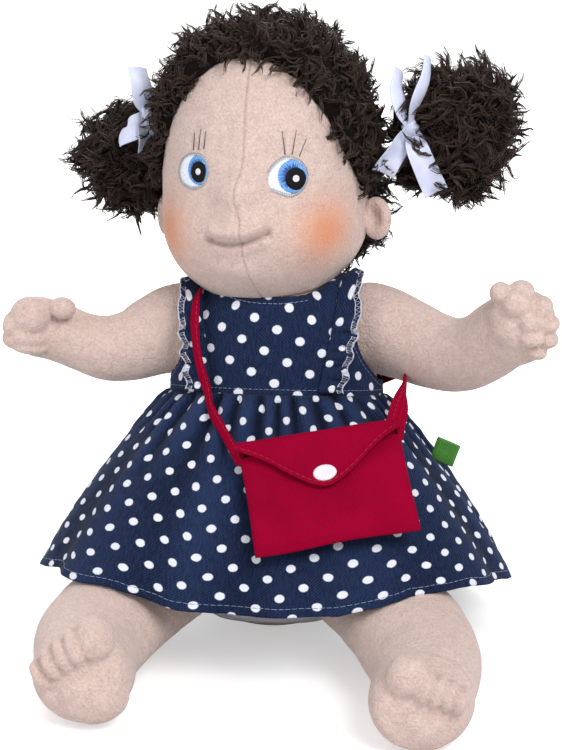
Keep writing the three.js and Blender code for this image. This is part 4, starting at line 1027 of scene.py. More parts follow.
EYES = (
    Eye(
        Side.LEFT,
        27.0,
        21.5,
        (
            (9.6, 0.5), (6.6, 6.2), (-0.6, 8.4), (-6.6, 4.6),
            (-10.8, -3.2), (-4.8, -6.6), (1.8, -8.4), (7.4, -5),
        ),
        (2.3, 0, 7),
        (3.6, -1, 4.8),
        1.5,
        (((26.5, 30.6), (25.5, 40.2)), ((30.5, 30.6), (33.8, 40.2)), ((34.5, 29.6), (39.5, 36.6))),
    ),
    Eye(
        Side.RIGHT,
        -27.6,
        23.6,
        (
            (8.8, 0.6), (6.4, 5.8), (0.2, 7.6), (-6.4, 5.4),
            (-9.2, -0.4), (-6.2, -5.8), (0.2, -7.6), (6.6, -5.4),
        ),
        (3.4, 0.6, 6.3),
        (4, -0.3, 4.5),
        1.4,
        (((-24.2, 32.4), (-24.0, 41.0)), ((-20.5, 32.8), (-20.2, 40.2)), ((-28.0, 32.2), (-28.4, 39.4))),
    ),
)  # fmt: skip


@dataclass(frozen=True)
class Ear:
    """A flat velour cushion with a hollow, sewn on along its front edge."""

    side: Side
    half_wide: float = 7.0
    half_tall: float = 9.2
    half_thick: float = 3.4
    azimuth: float = math.radians(92)
    height: float = 0.6

    def shape(self, across: Points, along: Points) -> Points:
        """The ear's surface in the model's frame."""
        spin, lean = across * TURN, (along - 0.5) * math.pi
        ring = np.cos(lean) ** 0.6
        x = self.half_wide * ring * np.cos(spin) + 5.0
        z = self.half_tall * ring * np.sin(spin)
        y = self.half_thick * np.sin(lean)
        hollow = bell(x, 4.6, 3.6) * bell(z, 0.3, 4.8)
        y = y + np.where(along < 0.5, 4.2, 0.6) * hollow
        points = stacked(x * self.side.value, y, z)
        lean = -18 if self.side is Side.LEFT else 55
        points = points @ turned("Z", lean * self.side.value).T
        return HEAD.world(points + HEAD.plain(self.side.value * self.azimuth, self.height)[None, :])

    def build(self) -> None:
        """Make the ear."""
        piece = mapped(f"ear_{self.side.word}_cushion", 72, 48, self.shape)
        dressed(piece, SKIN, "head", [f"ear_{self.side.word}"])


@dataclass(frozen=True)
class Locks:
    """Curling locks of pile: a few strands that start apart and end in one hooked point."""

    length: Pair
    bend: Pair
    spread: float
    strands: int
    radius: float
    slant: float
    wave: float = 0.9

    def runs(self, roots: Points, outward: Points, seed: int) -> list[Run]:
        """The strands that grow from roots.

        Args:
            roots: where locks start, in millimetres.
            outward: the direction away from the skin at each root.
            seed: which draw.

        Returns:
            A run for each strand.
        """
        draw = np.random.default_rng(seed)
        count = len(roots)
        swirl = [uneven(roots + shift, 13, seed + 40) for shift in (0, 57, 113)]
        swirl = np.column_stack(swirl) / 0.45
        aim = unit(outward + self.slant * (0.75 * swirl + 0.3 * draw.normal(size=(count, 3))))
        axis = unit(np.cross(aim, swirl[:, [1, 2, 0]] + 0.45 * draw.normal(size=(count, 3))))
        sideways = np.cross(axis, aim)
        length = draw.uniform(*self.length, (count, 1))
        bend = np.radians(draw.uniform(*self.bend, (count, 1)))
        t = np.linspace(0, 1, 6)[None, :]
        ahead, aside = np.sin(bend * t) / bend, (1 - np.cos(bend * t)) / bend
        arc = length[..., None] * (ahead[..., None] * aim[:, None] + aside[..., None] * sideways[:, None])
        arc += length[..., None] * 0.16 * (t**2)[..., None] * axis[:, None]
        phase = draw.uniform(0, TURN, (count, 1))
        wave = self.wave * (np.sin(t * 9 + phase) - np.sin(phase))
        arc += wave[..., None] * axis[:, None]
        runs = []
        for strand in range(self.strands):
            start = draw.normal(size=(count, 3)) * self.spread
            shorter = draw.uniform(0.8, 1.0, (count, 1, 1)) if strand else 1.0
            path = roots[:, None] + start[:, None] * ((1 - t) ** 1.3)[..., None] + arc * shorter
            thick = self.radius * draw.uniform(0.7, 1.2, (count, 1)) * (1 - t) ** 0.75 + 0.07
            runs.extend(zip(path, thick))
        return runs


HAIRLINE = (
    (0, 70), (20, 68), (38, 61), (55, 45), (68, 26), (80, 15), (98, 14), (112, -12), (135, -22), (180, -25),
)  # fmt: skip


@dataclass(frozen=True)
class Wig:
    """The short curls over the skull, down to the hairline."""

    rise: float = 5.0
    locks: Locks = Locks((8.0, 14.5), (50.0, 190.0), 1.1, 7, 0.27, 1.2)
    clumps: int = 2800
    crown: int = 34
    pieces: int = 5

    def edge(self, azimuth: Points) -> Points:
        """Height of the hairline at each azimuth."""
        angles, heights = zip(*HAIRLINE)
        return np.interp(np.abs(np.degrees(azimuth)), angles, heights)

    def base(self, across: Points, along: Points) -> Points:
        """The dark ground that the curls grow from, darker than the locks as painted shade deep in the pile.
        """
        azimuth = (across * 2 - 1) * math.pi
        height = mixed(self.edge(azimuth), HEAD.up, np.sin(along * math.pi / 2))
        lift = self.rise * (0.1 + 0.9 * smooth(0, 0.1, along))
        points = HEAD.plain(azimuth, height, lift)
        points += HEAD.outward(azimuth, np.minimum(height, 79)) * (0.7 * uneven(points, 7, 21))[:, None]
        return HEAD.world(points)

    def roots(self) -> tuple[Points, Points]:
        """Seeded roots over the ground, with the direction away from it."""
        draw = np.random.default_rng(5)
        azimuth = draw.uniform(-math.pi, math.pi, self.clumps * 9)
        height = draw.uniform(-25, 79.6, self.clumps * 9)
        girth = np.linalg.norm(HEAD.plain(azimuth, height)[:, :2], axis=1) / HEAD.back
        slope = (1 + 1.3 * smooth(50, 79, height)) * (1 + 0.8 * bell(height, self.edge(azimuth) + 3, 4))
        over = height > self.edge(azimuth) + 0.6
        kept = np.flatnonzero(over & (draw.uniform(0, 2.3, len(girth)) < girth * slope))[: self.clumps]
        crown = 9.5 * np.sqrt(draw.uniform(0, 1, self.crown))
        top = HEAD.up * (1 - (crown / HEAD.half_width) ** HEAD.fullness) ** (1 / HEAD.fullness)
        azimuth = np.concatenate([azimuth[kept], draw.uniform(-math.pi, math.pi, self.crown)])
        height = np.concatenate([height[kept], top])
        near = smooth(0, 7, height - self.edge(azimuth))
        out = HEAD.outward(azimuth, height)
        out[:, 2] -= 0.5 * (1 - near)
        points = HEAD.world(HEAD.plain(azimuth, height, self.rise * (0.25 + 0.6 * near)))
        return points, unit(HEAD.facing(unit(out)))

    def build(self) -> None:
        """Make the ground and the locks."""
        ground = mapped("wig_ground", 150, 60, self.base)
        dressed(ground, UNDERCURLS, "head", ["wig_cap"])
        roots, out = self.roots()
        for number in range(self.pieces):
            runs = self.locks.runs(roots[number :: self.pieces], out[number :: self.pieces], 40 + number)
            dressed(threads(f"wig_locks_{number + 1}", runs, fine=True), CURLS, "head")


@dataclass(frozen=True)
class Strip:
    """One length of ribbon: its path, its width and which way its width runs."""

    path: tuple[Triple, ...]
    across: Triple
    width: float
    curl: float = 1.6

    def shape(self, across: Points, along: Points) -> Points:
        """The ribbon's surface, narrow at the knot and softly curled."""
        path = curve_through(self.path, RIBBON_STEPS)
        way = along_path(path)
        wide = unit(np.array(self.across) - (way @ np.array(self.across))[:, None] * way)
        place, steps = along * (RIBBON_STEPS - 1), np.arange(RIBBON_STEPS)
        middle, aside, off = (read_at(place, steps, rows) for rows in (path, wide, np.cross(way, wide)))
        w = 2 * across - 1
        narrow = 1 - 0.45 * bell(along, 0, 0.22)
        waves = self.curl * (w**2 - 0.4) + 0.5 * np.sin(along * 7 + w * 1.5)
        return middle + aside * (w * narrow * self.width / 2)[:, None] + off * waves[:, None]

    @property
    def length(self) -> float:
        """The ribbon's length."""
        return float(reach_along(curve_through(self.path, RIBBON_STEPS))[-1])


@dataclass(frozen=True)
class Bunch:
    """A bunch of curls with its elastic and its ribbon."""

    side: Side
    knot: Triple
    middle: Triple
    half: Triple
    strips: tuple[Strip, ...]
    tie: Triple
    locks: Locks = Locks((11.0, 19.0), (60.0, 200.0), 1.4, 8, 0.29, 1.3)
    clumps: int = 1000
    core: float = 0.64
    knot_radius: float = 8.0

    def axes(self) -> tuple[Points, Points, Points, Points, float]:
        """The knot, the three directions of the bunch and the distance to its middle."""
        knot, middle = np.array(self.knot), np.array(self.middle)
        axis = unit(middle - knot)
        side = unit(np.cross([0, 0, 1], axis))
        return knot, axis, side, np.cross(axis, side), float(np.linalg.norm(middle - knot))

    def at(self, spin: Points, share: Points, scale: float) -> Points:
        """A place on the bunch in the head's frame.

        Args:
            spin: round its axis.
            share: share of the way from the knot to the far end.
            scale: size of the form, 1 for the bunch and less for its core.

        Returns:
            The points in millimetres.
        """
        knot, axis, side, up, reach = self.axes()
        far = self.half[0]
        before, beyond = [0, 0.16, 0.38, 0.66, 1, 1, 1, 1], [0, 0, 0, 0, 0, 0.4, 0.75, 1]
        places = np.array(before) * reach + np.array(beyond) * far
        narrow = self.knot_radius / self.half[2]
        sizes = [narrow, narrow * 1.1, 0.62, 0.88, 1, 0.92, 0.66, 0.0]
        size = np.interp(share, places / (reach + far), sizes)
        size = size * mixed(1, scale, smooth(0.1, 0.4, share))
        along = share * (reach + far * mixed(1, scale, smooth(0.3, 1, share)))
        points = knot + axis * along[:, None]
        points = points + side * (self.half[1] * size * np.cos(spin))[:, None]
        return points + up * (self.half[2] * size * np.sin(spin))[:, None]

    def ground(self, across: Points, along: Points) -> Points:
        """The dark core that the curls grow from, put where there is only hair and coloured as painted shade
        within the bunch.
        """
        points = self.at(across * TURN, np.sin(along * math.pi / 2), self.core)
        centre = np.array(self.middle)
        points += unit(points - centre) * (1.4 * uneven(points, 11, 31))[:, None]
        return HEAD.world(points)

    def roots(self) -> tuple[Points, Points]:
        """Seeded roots over the core, with the direction away from it."""
        draw = np.random.default_rng(70 + self.side.value)
        share, spin = draw.uniform(0.04, 1, self.clumps * 5), draw.uniform(0, TURN, self.clumps * 5)
        points = self.at(spin, share, self.core)
        knot, axis, _, _, _ = self.axes()
        girth = np.linalg.norm(np.cross(points - knot, axis), axis=1)
        chance = girth + 5 * (share > 0.93)
        kept = np.flatnonzero(draw.uniform(0, girth.max(), len(girth)) < chance)[: self.clumps]
        centre = knot + axis * mixed(3, np.linalg.norm(np.array(self.middle) - knot), share[kept])[:, None]
        out = unit(points[kept] - centre)
        return HEAD.world(points[kept]), HEAD.facing(out)

    def elastic(self, across: Points, along: Points) -> Points:
        """The ruched elastic round the root of the bunch."""
        knot, axis, side, up, _ = self.axes()
        spin, tube = across * TURN, along * TURN
        thick = 1.3 + 0.22 * np.sin(spin * 34)
        out = side * np.cos(spin)[:, None] + up * np.sin(spin)[:, None]
        ring = knot + axis * 4 + out * (self.knot_radius + 2.0 + thick * np.cos(tube))[:, None]
        return HEAD.world(ring + axis * (thick * np.sin(tube))[:, None])

    def knot_shape(self, across: Points, along: Points) -> Points:
        """The ribbon's knot: a small puckered bulge."""
        spin, lean = across * TURN, (along - 0.5) * math.pi
        ring = np.cos(lean) * (1 + 0.1 * np.sin(spin * 7))
        return stacked(3.6 * ring * np.cos(spin), 2.8 * np.sin(lean), 4.2 * ring * np.sin(spin)) + self.tie

    def build(self) -> None:
        """Make the bunch, its elastic and its bow."""
        word = self.side.word
        body = f"pigtail_{word}"
        dressed(mapped(f"bunch_ground_{word}", 90, 60, self.ground), UNDERCURLS, body, [f"pigtail_{word}"])
        roots, out = self.roots()
        for number in range(2):
            runs = self.locks.runs(roots[number::2], out[number::2], 80 + self.side.value + 10 * number)
            dressed(threads(f"bunch_locks_{word}_{number + 1}", runs, fine=True), CURLS, body)
        ring = mapped(f"elastic_{word}", 204, 12, self.elastic, laid(0.06, 0.008))
        dressed(ring, ELASTIC, body, [f"hair_elastic_{word}"])
        knot = mapped(f"bow_knot_{word}", 40, 20, self.knot_shape, laid(0.02, 0.01))
        dressed(knot, SATIN, body, [f"bow_{word}"])
        for number, strip in enumerate(self.strips, 1):
            size = (strip.width * MM, strip.length * MM)
            piece = mapped(f"bow_{word}_{number}", 16, 44, strip.shape, laid(*size))
            walled(piece, 0.3, 0)
            dressed(piece, SATIN, body)


BUNCHES = (
    Bunch(
        Side.LEFT,
        (54, 14, 42),
        (85, 18, 35.5),
        (27, 26, 36),
        (
            Strip(((57, 12, 221), (54, 9, 229), (52, 11, 236), (53, 16, 243)), (0.35, 0.9, 0.2), 10),
            Strip(((58, 11, 222), (61, 8, 232), (64, 10, 241), (65, 14, 249)), (0.3, 0.9, -0.2), 10),
            Strip(((57, 11, 219), (53, 7, 212), (49, 6, 206), (46, 8, 201)), (0.8, 0.5, -0.6), 10),
            Strip(((58, 11, 219), (61, 6, 211), (65, 5, 202), (69, 7, 193)), (1, 0.4, 0.4), 10.5),
        ),
        (57.5, 11, 219.5),
    ),
    Bunch(
        Side.RIGHT,
        (-49, 14, 45),
        (-70, 18, 20),
        (19, 23, 31),
        (
            Strip(((-57, 24, 223), (-58, 20, 230), (-59, 20, 237), (-61, 23, 243)), (0.7, 0.6, -0.1), 10),
            Strip(((-57, 23, 222), (-60, 18, 219), (-64, 17, 216), (-69, 20, 213)), (0.4, 0.4, 1), 10),
            Strip(((-57, 23, 221), (-56, 17, 217), (-56, 16, 213), (-57, 19, 208)), (0.8, 0.6, 0.4), 10),
        ),
        (-57, 20.5, 222),
    ),
)


@dataclass(frozen=True)
class Neck:
    """The velour neck with its rounded top."""

    radius: float = 15.0
    bottom: float = -23.0

    def shape(self, across: Points, along: Points) -> Points:
        """The neck's surface."""
        spin = across * TURN
        low, wall = along < 0.15, along < 0.7
        top = (along - 0.7) / 0.3 * math.pi / 2
        ring = np.where(low, along / 0.15, np.where(wall, 1, np.cos(top)))
        upper = np.where(wall, self.bottom * (0.7 - along) / 0.55, self.radius * np.sin(top))
        z = np.where(low, self.bottom, upper)
        return stacked(self.radius * ring * np.cos(spin), self.radius * ring * np.sin(spin), z) + NECK_PLACE

    def build(self) -> None:
        """Make the neck."""
        dressed(mapped("neck", 64, 40, self.shape), SKIN, "neck", ["neck_skin"])


@dataclass(frozen=True)
class Trunk:
    """The velour trunk and its cotton underpants."""

    pants: Pair = (5.0, 62.0)
    pants_cloth: Pair = (0.29, 0.06)

    def shape(self, across: Points, along: Points) -> Points:
        """The trunk's surface, flat where it sits."""
        height = mixed(0.2, TRUNK.length - 0.1, (1 - np.cos(along * math.pi)) / 2)
        points = TRUNK.skin(across * TURN, height)
        points[:, 2] = np.maximum(points[:, 2] + 0.2 * uneven(points, 18, 12) * smooth(6, 20, height), 0)
        return points

    def pants_shape(self, across: Points, along: Points) -> Points:
        """The underpants' outer face, with a soft gather under their elastic."""
        height = mixed(*self.pants, along)
        spin = across * TURN
        ruche = 0.5 * np.sin(spin * 60) * smooth(0.8, 0.95, along)
        points = TRUNK.skin(spin, height, 1.3 + ruche + 0.4 * bell(along, 0.97, 0.03))
        points[:, 2] = np.maximum(points[:, 2], 0.3)
        return points

    def build(self) -> None:
        """Make the trunk and the underpants."""
        dressed(mapped("trunk", 120, 90, self.shape), SKIN, "root", ["body_skin"])
        pants = mapped("underpants_cloth", 360, 50, self.pants_shape, laid(*self.pants_cloth))
        walled(pants, 0.7, -1)
        dressed(pants, COTTON, "root", ["underpants"])


Lump = tuple[float, float, float, float, float, float, float]


@dataclass(frozen=True)
class Limb:
    """An arm or leg: a stuffed tube through stations, with fingers or toes as lumps."""

    name: str
    body: str
    stations: tuple[tuple[float, float, float, float, float], ...]
    lumps: tuple[Lump, ...]
    voxel: float = 0.00085
    floor: bool = False

    def shape(self, across: Points, along: Points, grow: float = 0.0) -> Points:
        """The tube's surface with closed ends.

        Args:
            across: share of the way round.
            along: share of the way from the root to the tip.
            grow: how far off the surface the points lie, below 0 inside it.

        Returns:
            The points in millimetres.
        """
        rows = curve_through(self.stations, LIMB_STEPS)
        way = along_path(rows[:, :3])
        side = unit(np.cross([0, 0, 1], way))
        first, last = along.min(), along.max()
        end = np.clip(np.minimum(along - first, last - along) / 0.04, 0, 1)
        place, steps = along * (LIMB_STEPS - 1), np.arange(LIMB_STEPS)
        centre, aside, up = (read_at(place, steps, part) for part in (rows, side, np.cross(way, side)))
        close, spin = np.sqrt(1 - (1 - end) ** 2), across * TURN
        points = centre[:, :3] + aside * ((centre[:, 4] + grow) * close * np.cos(spin))[:, None]
        return points + up * ((centre[:, 3] + grow) * close * np.sin(spin))[:, None]

    def build(self) -> None:
        """Make the limb as one soft skin round its stuffing."""
        tube = mapped(f"{self.name}_tube", 72, 110, self.shape)
        with opened(tube.data) as form:
            for x, y, z, wide, deep, tall, tilt in self.lumps:
                spot = Matrix.Translation(Vector((x, y, z)) * MM)
                spot = spot @ Matrix.Rotation(math.radians(tilt), 4, "Y")
                spot = spot @ Matrix.Diagonal((wide * MM, deep * MM, tall * MM, 1))
                bmesh.ops.create_uvsphere(form, u_segments=32, v_segments=20, radius=1, matrix=spot)
        with_modifier(tube, "REMESH", mode="VOXEL", voxel_size=self.voxel)
        with_modifier(tube, "SMOOTH", factor=0.5, iterations=4)
        settled(tube)
        points = place_of(tube.data) / MM
        points += unit(points - points.mean(axis=0)) * (0.22 * uneven(points, 14, 8))[:, None]
        self.laid_down(tube, points, 0)
        closed_up(tube.data)
        tube.name = self.name
        dressed(tube, SKIN, self.body, [f"{self.body}_skin"])
        inner = mapped(f"{self.body}_stuffing", 48, 60, self.inner)
        self.laid_down(inner, place_of(inner.data) / MM, 1.5)
        dressed(inner, FILLING, self.body, [f"{self.body}_filling"])

    def inner(self, across: Points, along: Points) -> Points:
        """The stuffing's surface inside the skin."""
        return self.shape(across, mixed(0.05, 0.95, along), -1.8)

    def laid_down(self, piece: Piece, points: Points, lowest: float) -> None:
        """Put a piece's points in place, on a leg none under the lowest height."""
        if self.floor:
            points[:, 2] = np.maximum(points[:, 2], lowest)
        moved(piece.data, points)


ARM_RIGHT = Limb(
    "arm_right_velour",
    "arm_right",
    (
        (-31, 17, 129.5, 17, 15), (-36, 17, 129.5, 19.5, 17), (-44, 17, 129, 19.5, 17),
        (-54, 15, 125.5, 18, 16), (-64, 13, 121.5, 15.8, 14.6), (-75, 11, 120.5, 14.6, 14),
        (-86, 9, 123.5, 13, 13), (-96, 7, 128, 13, 13), (-107, 5, 131, 13.2, 13.2),
        (-113, 4, 131, 10.6, 10.8), (-118, 4, 131, 5, 5),
    ),
    (
        (-105.4, -5, 138, 9, 8.2, 8.6, 0), (-91, -5, 141.8, 6, 5, 4.8, 12),
        (-113.6, -3, 133.4, 4.6, 9, 6, 0), (-107.4, -5.2, 129, 9.4, 6.8, 4.2, 12),
        (-114, -1.5, 127.6, 4.8, 9, 4.8, 0), (-106.6, -3.6, 124.2, 9.2, 7, 3.7, 8),
    ),
)  # fmt: skip

ARM_LEFT = Limb(
    "arm_left_velour",
    "arm_left",
    (
        (33, 17, 132, 17, 15), (38, 16, 132, 19.5, 17), (47, 13, 131, 19.5, 17), (59, 6, 128.5, 18, 16),
        (70, -3, 126.5, 16.6, 15.4), (80, -11, 127, 15.8, 15), (90, -19, 132, 15, 14.4),
        (98, -27, 140, 15, 14.2), (107, -35, 146.5, 15.2, 14.2), (112, -39.5, 148, 11.6, 11.6),
        (116, -43, 148, 5, 5),
    ),
    (
        (104, -41, 149.5, 11.6, 10.5, 13, 0), (103.6, -50, 158.4, 6, 4.8, 5.6, 0),
        (97, -44.5, 161.6, 4.6, 5.4, 4.6, 0), (105.4, -43, 162, 5.4, 7, 4.8, 0),
        (113.2, -41.5, 155.4, 5.4, 7.5, 4.8, -20), (116.4, -41.5, 148.8, 5, 7.5, 4, 0),
        (116.4, -41.5, 142.4, 4.8, 7, 3.7, 10), (111.6, -41.5, 137.4, 5.2, 6.5, 3.5, 20),
        (109.6, -50.4, 151, 5.6, 4.6, 3.9, 0), (110, -49.8, 144.6, 5.2, 4.4, 3.7, 0),
    ),
)  # fmt: skip

LEG_RIGHT = Limb(
    "leg_right_velour",
    "leg_right",
    (
        (-30, -20, 27, 9, 17), (-39, -32, 27, 15, 21), (-50, -46, 26.5, 19.5, 23.5),
        (-60, -65, 24, 20.5, 24.5), (-65.5, -84, 20.5, 20.2, 23.4), (-65, -98, 19.2, 19.4, 21.2),
        (-63, -110, 18.5, 19, 20), (-62.5, -119, 22.5, 19.4, 20.2), (-63.5, -125, 24, 15.8, 17.5),
        (-64, -129, 24.5, 8, 9),
    ),
    (
        (-55.4, -124.5, 39.4, 7.6, 8.4, 8.8, -18), (-62.8, -126.5, 35.4, 3.3, 6.4, 7.6, -27),
        (-67.6, -126, 32, 3.2, 6.4, 7.4, -30), (-72.4, -125.5, 28.2, 3.2, 6.4, 7.2, -34),
        (-76.8, -124.5, 23, 3.1, 6.2, 6.8, -40), (-58, -122, 15, 15, 9.5, 12.5, 0),
    ),
    floor=True,
)  # fmt: skip

LEG_LEFT = Limb(
    "leg_left_velour",
    "leg_left",
    (
        (30, -22, 27, 9, 17), (39, -34, 27, 15, 21), (52, -49, 26.5, 19.5, 23.5), (63, -68, 24, 20.5, 24.5),
        (70, -88, 20.5, 20.2, 23.4), (71.5, -105, 19, 19.4, 21.2), (70.5, -117, 18, 18.7, 20.2),
        (71, -126, 18.6, 18.6, 20.4), (72.5, -132, 20, 15.5, 17.5), (73.5, -136.5, 20.5, 8, 9),
    ),
    (
        (65.6, -132, 32.6, 8, 8.2, 9, 10), (72.4, -134.5, 29, 3, 6.2, 7.6, 14),
        (77.2, -134, 27.4, 2.9, 6.2, 7, 16), (81.8, -133, 25.4, 2.9, 6, 6.4, 18),
        (86, -131.5, 22.8, 2.9, 6, 5.6, 22), (69, -129, 12.6, 14, 9, 11.5, 0),
    ),
    floor=True,
)  # fmt: skip


HEM_HEIGHTS = ((0, 35), (18, 37), (34, 43.5), (50, 43), (66, 36), (90, 26), (120, 15), (150, 9), (180, 7))


@dataclass(frozen=True)
class Skirt:
    """The gathered denim skirt with its sewn hem and side label."""

    cloth: Pair = (0.58, 0.104)
    hem_centre: Pair = (2.0, 3.0)
    hem_half: Pair = (101.0, 90.0)
    thick: float = 1.0
    hem_high: float = 3.9
    stitches: int = 900
    label_cloth: Pair = (0.0102, 0.0215)
    label_angle: float = math.radians(-8)
    label_share: float = 0.29

    def at(self, angle: Points, t: Points, off: Points | float = 0.0) -> Points:
        """A place on the unfolded skirt.

        Args:
            angle: round the doll from its left side.
            t: share of the way from the waist to the hem.
            off: distance outwards.

        Returns:
            The points in millimetres.
        """
        wide, deep = TRUNK.half_sizes(TRUNK.waist)
        out = 3.4 + off
        waist = TRUNK.place((wide + out) * np.cos(angle), (deep + out) * np.sin(angle), TRUNK.waist)
        from_front = np.abs(np.degrees(np.arctan2(np.cos(angle), -np.sin(angle))))
        angles, heights = zip(*HEM_HEIGHTS)
        power = np.where(np.sin(angle) < 0, 3.0, 2.0)
        sides = np.abs(np.cos(angle)) ** power + np.abs(np.sin(angle)) ** power
        stretch = sides ** (-1 / power)
        x = self.hem_centre[0] + (self.hem_half[0] + off) * stretch * np.cos(angle)
        y = self.hem_centre[1] + (self.hem_half[1] + off) * stretch * np.sin(angle)
        hem = stacked(x, y, np.interp(from_front, angles, heights))
        spread = np.sin(np.clip(t, 0, 1) * math.pi * 0.5) ** 0.9
        share = mixed(t, spread, 0.35)
        points = mixed(waist, hem, share[:, None])
        points[:, 2] = mixed(waist[:, 2], hem[:, 2], t)
        return points

    def spread(self, t: Points) -> Points:
        """Width of the cloth that shows at each height, in metres."""
        return mixed(0.43, 0.6, t**0.8)

    def folds(self, angle: Points, t: Points) -> Points:
        """How far the gathers and folds stand out."""
        wander = angle + 0.05 * np.sin(angle * 5 + 1) + 0.02 * np.sin(angle * 13)
        facing = np.degrees(np.arctan2(-np.cos(angle), -np.sin(angle)))
        depth = 3.6 + 2.6 * bell(facing, 18, 34) + 0.8 * np.sin(angle * 6 + 2)
        pleat = np.abs(np.sin(wander * 17))
        reach = 0.46 + 0.14 * np.sin(angle * 11 + 0.7)
        gathers = depth * (pleat - 0.62) * (1 - smooth(0.0, reach, t - 0.03)) * smooth(-0.02, 0.05, t)
        deep = 0.6 + 0.4 * np.sin(angle * 3.0 + 2.2)
        broad = (0.3 + 1.9 * t) * np.sin(wander * 16) * deep
        return gathers + broad + 0.9 * np.sin(angle * 7 + 4 * t) * t

    def fold(self, across: Points, along: Points) -> Points:
        """How much painted light lies on the ridges of the folds, below 0 for painted shade in the valleys.
        """
        lying = self.folds((across + 0.25) * TURN, along)
        return np.clip(lying / 2.6, -1, 0.8) * (1 - 0.6 * smooth(0.3, 0.9, along))

    def shape(self, across: Points, along: Points) -> Points:
        """The skirt's outer face."""
        angle, t = (across + 0.25) * TURN, along
        points = self.at(angle, t)
        out = stacked(np.cos(angle), np.sin(angle), 0 * angle)
        hem = 1 - self.hem_share
        doubled = 0.35 * smooth(hem - 0.012, hem + 0.004, t)
        points += out * (self.folds(angle, t) + doubled + 0.35 * uneven(points, 9, 6))[:, None]
        return points

    @property
    def hem_share(self) -> float:
        """The sewn hem's height as a share of the cloth's."""
        return self.hem_high * MM / self.cloth[1]

    def flat(self, across: Points, along: Points) -> Points:
        """The place on the flat cloth in metres."""
        return stacked((across - 0.5) * self.spread(along), along * self.cloth[1])

    def build(self) -> None:
        """Make the skirt, its topstitching and its label."""
        # The fold attribute carries painted light on the ridges of the folds and painted shade in their
        # valleys.
        piece = mapped("skirt_cloth", 560, 74, self.shape, self.flat, {"fold": self.fold})
        walled(piece, self.thick, -1)
        dressed(piece, DENIM, "root", ["skirt"])
        round_it = np.linspace(0, 1, self.stitches)
        line = self.shape(round_it, np.full(self.stitches, 1 - self.hem_share)) + (0, 0, 0.1)
        dressed(threads("hem_stitches", dashes(line, 2.3, 0.5, 0.14)), DENIM_THREAD, "root")
        self.label()

    def label(self) -> None:
        """Make the folded label at the side seam."""
        angle = self.label_angle
        start = self.at(np.array([angle]), np.array([self.label_share]), 3.0)[0]
        out = unit(np.array([math.cos(angle), math.sin(angle), -0.35]))
        upright = np.array([0.35, -0.1, 1.0])
        tall = unit(upright - out * (upright @ out))
        face = np.cross(out, tall)

        def shape(across: Points, along: Points) -> Points:
            """The label's surface: out from the seam, round its fold and back."""
            reach = 10.5 * np.sin(along * math.pi) ** 0.7
            gap = 0.55 * np.cos(along * math.pi) + 0.3 * np.sin(across * 5)
            w = (across - 0.5) * self.label_cloth[0] / MM
            return start + out * reach[:, None] + tall * w[:, None] + face * gap[:, None]

        piece = mapped("side_label_ribbon", 14, 40, shape, laid(*self.label_cloth))
        walled(piece, 0.4, 0)
        dressed(piece, LABEL, "root", ["side_label"])


SKIRT = Skirt()


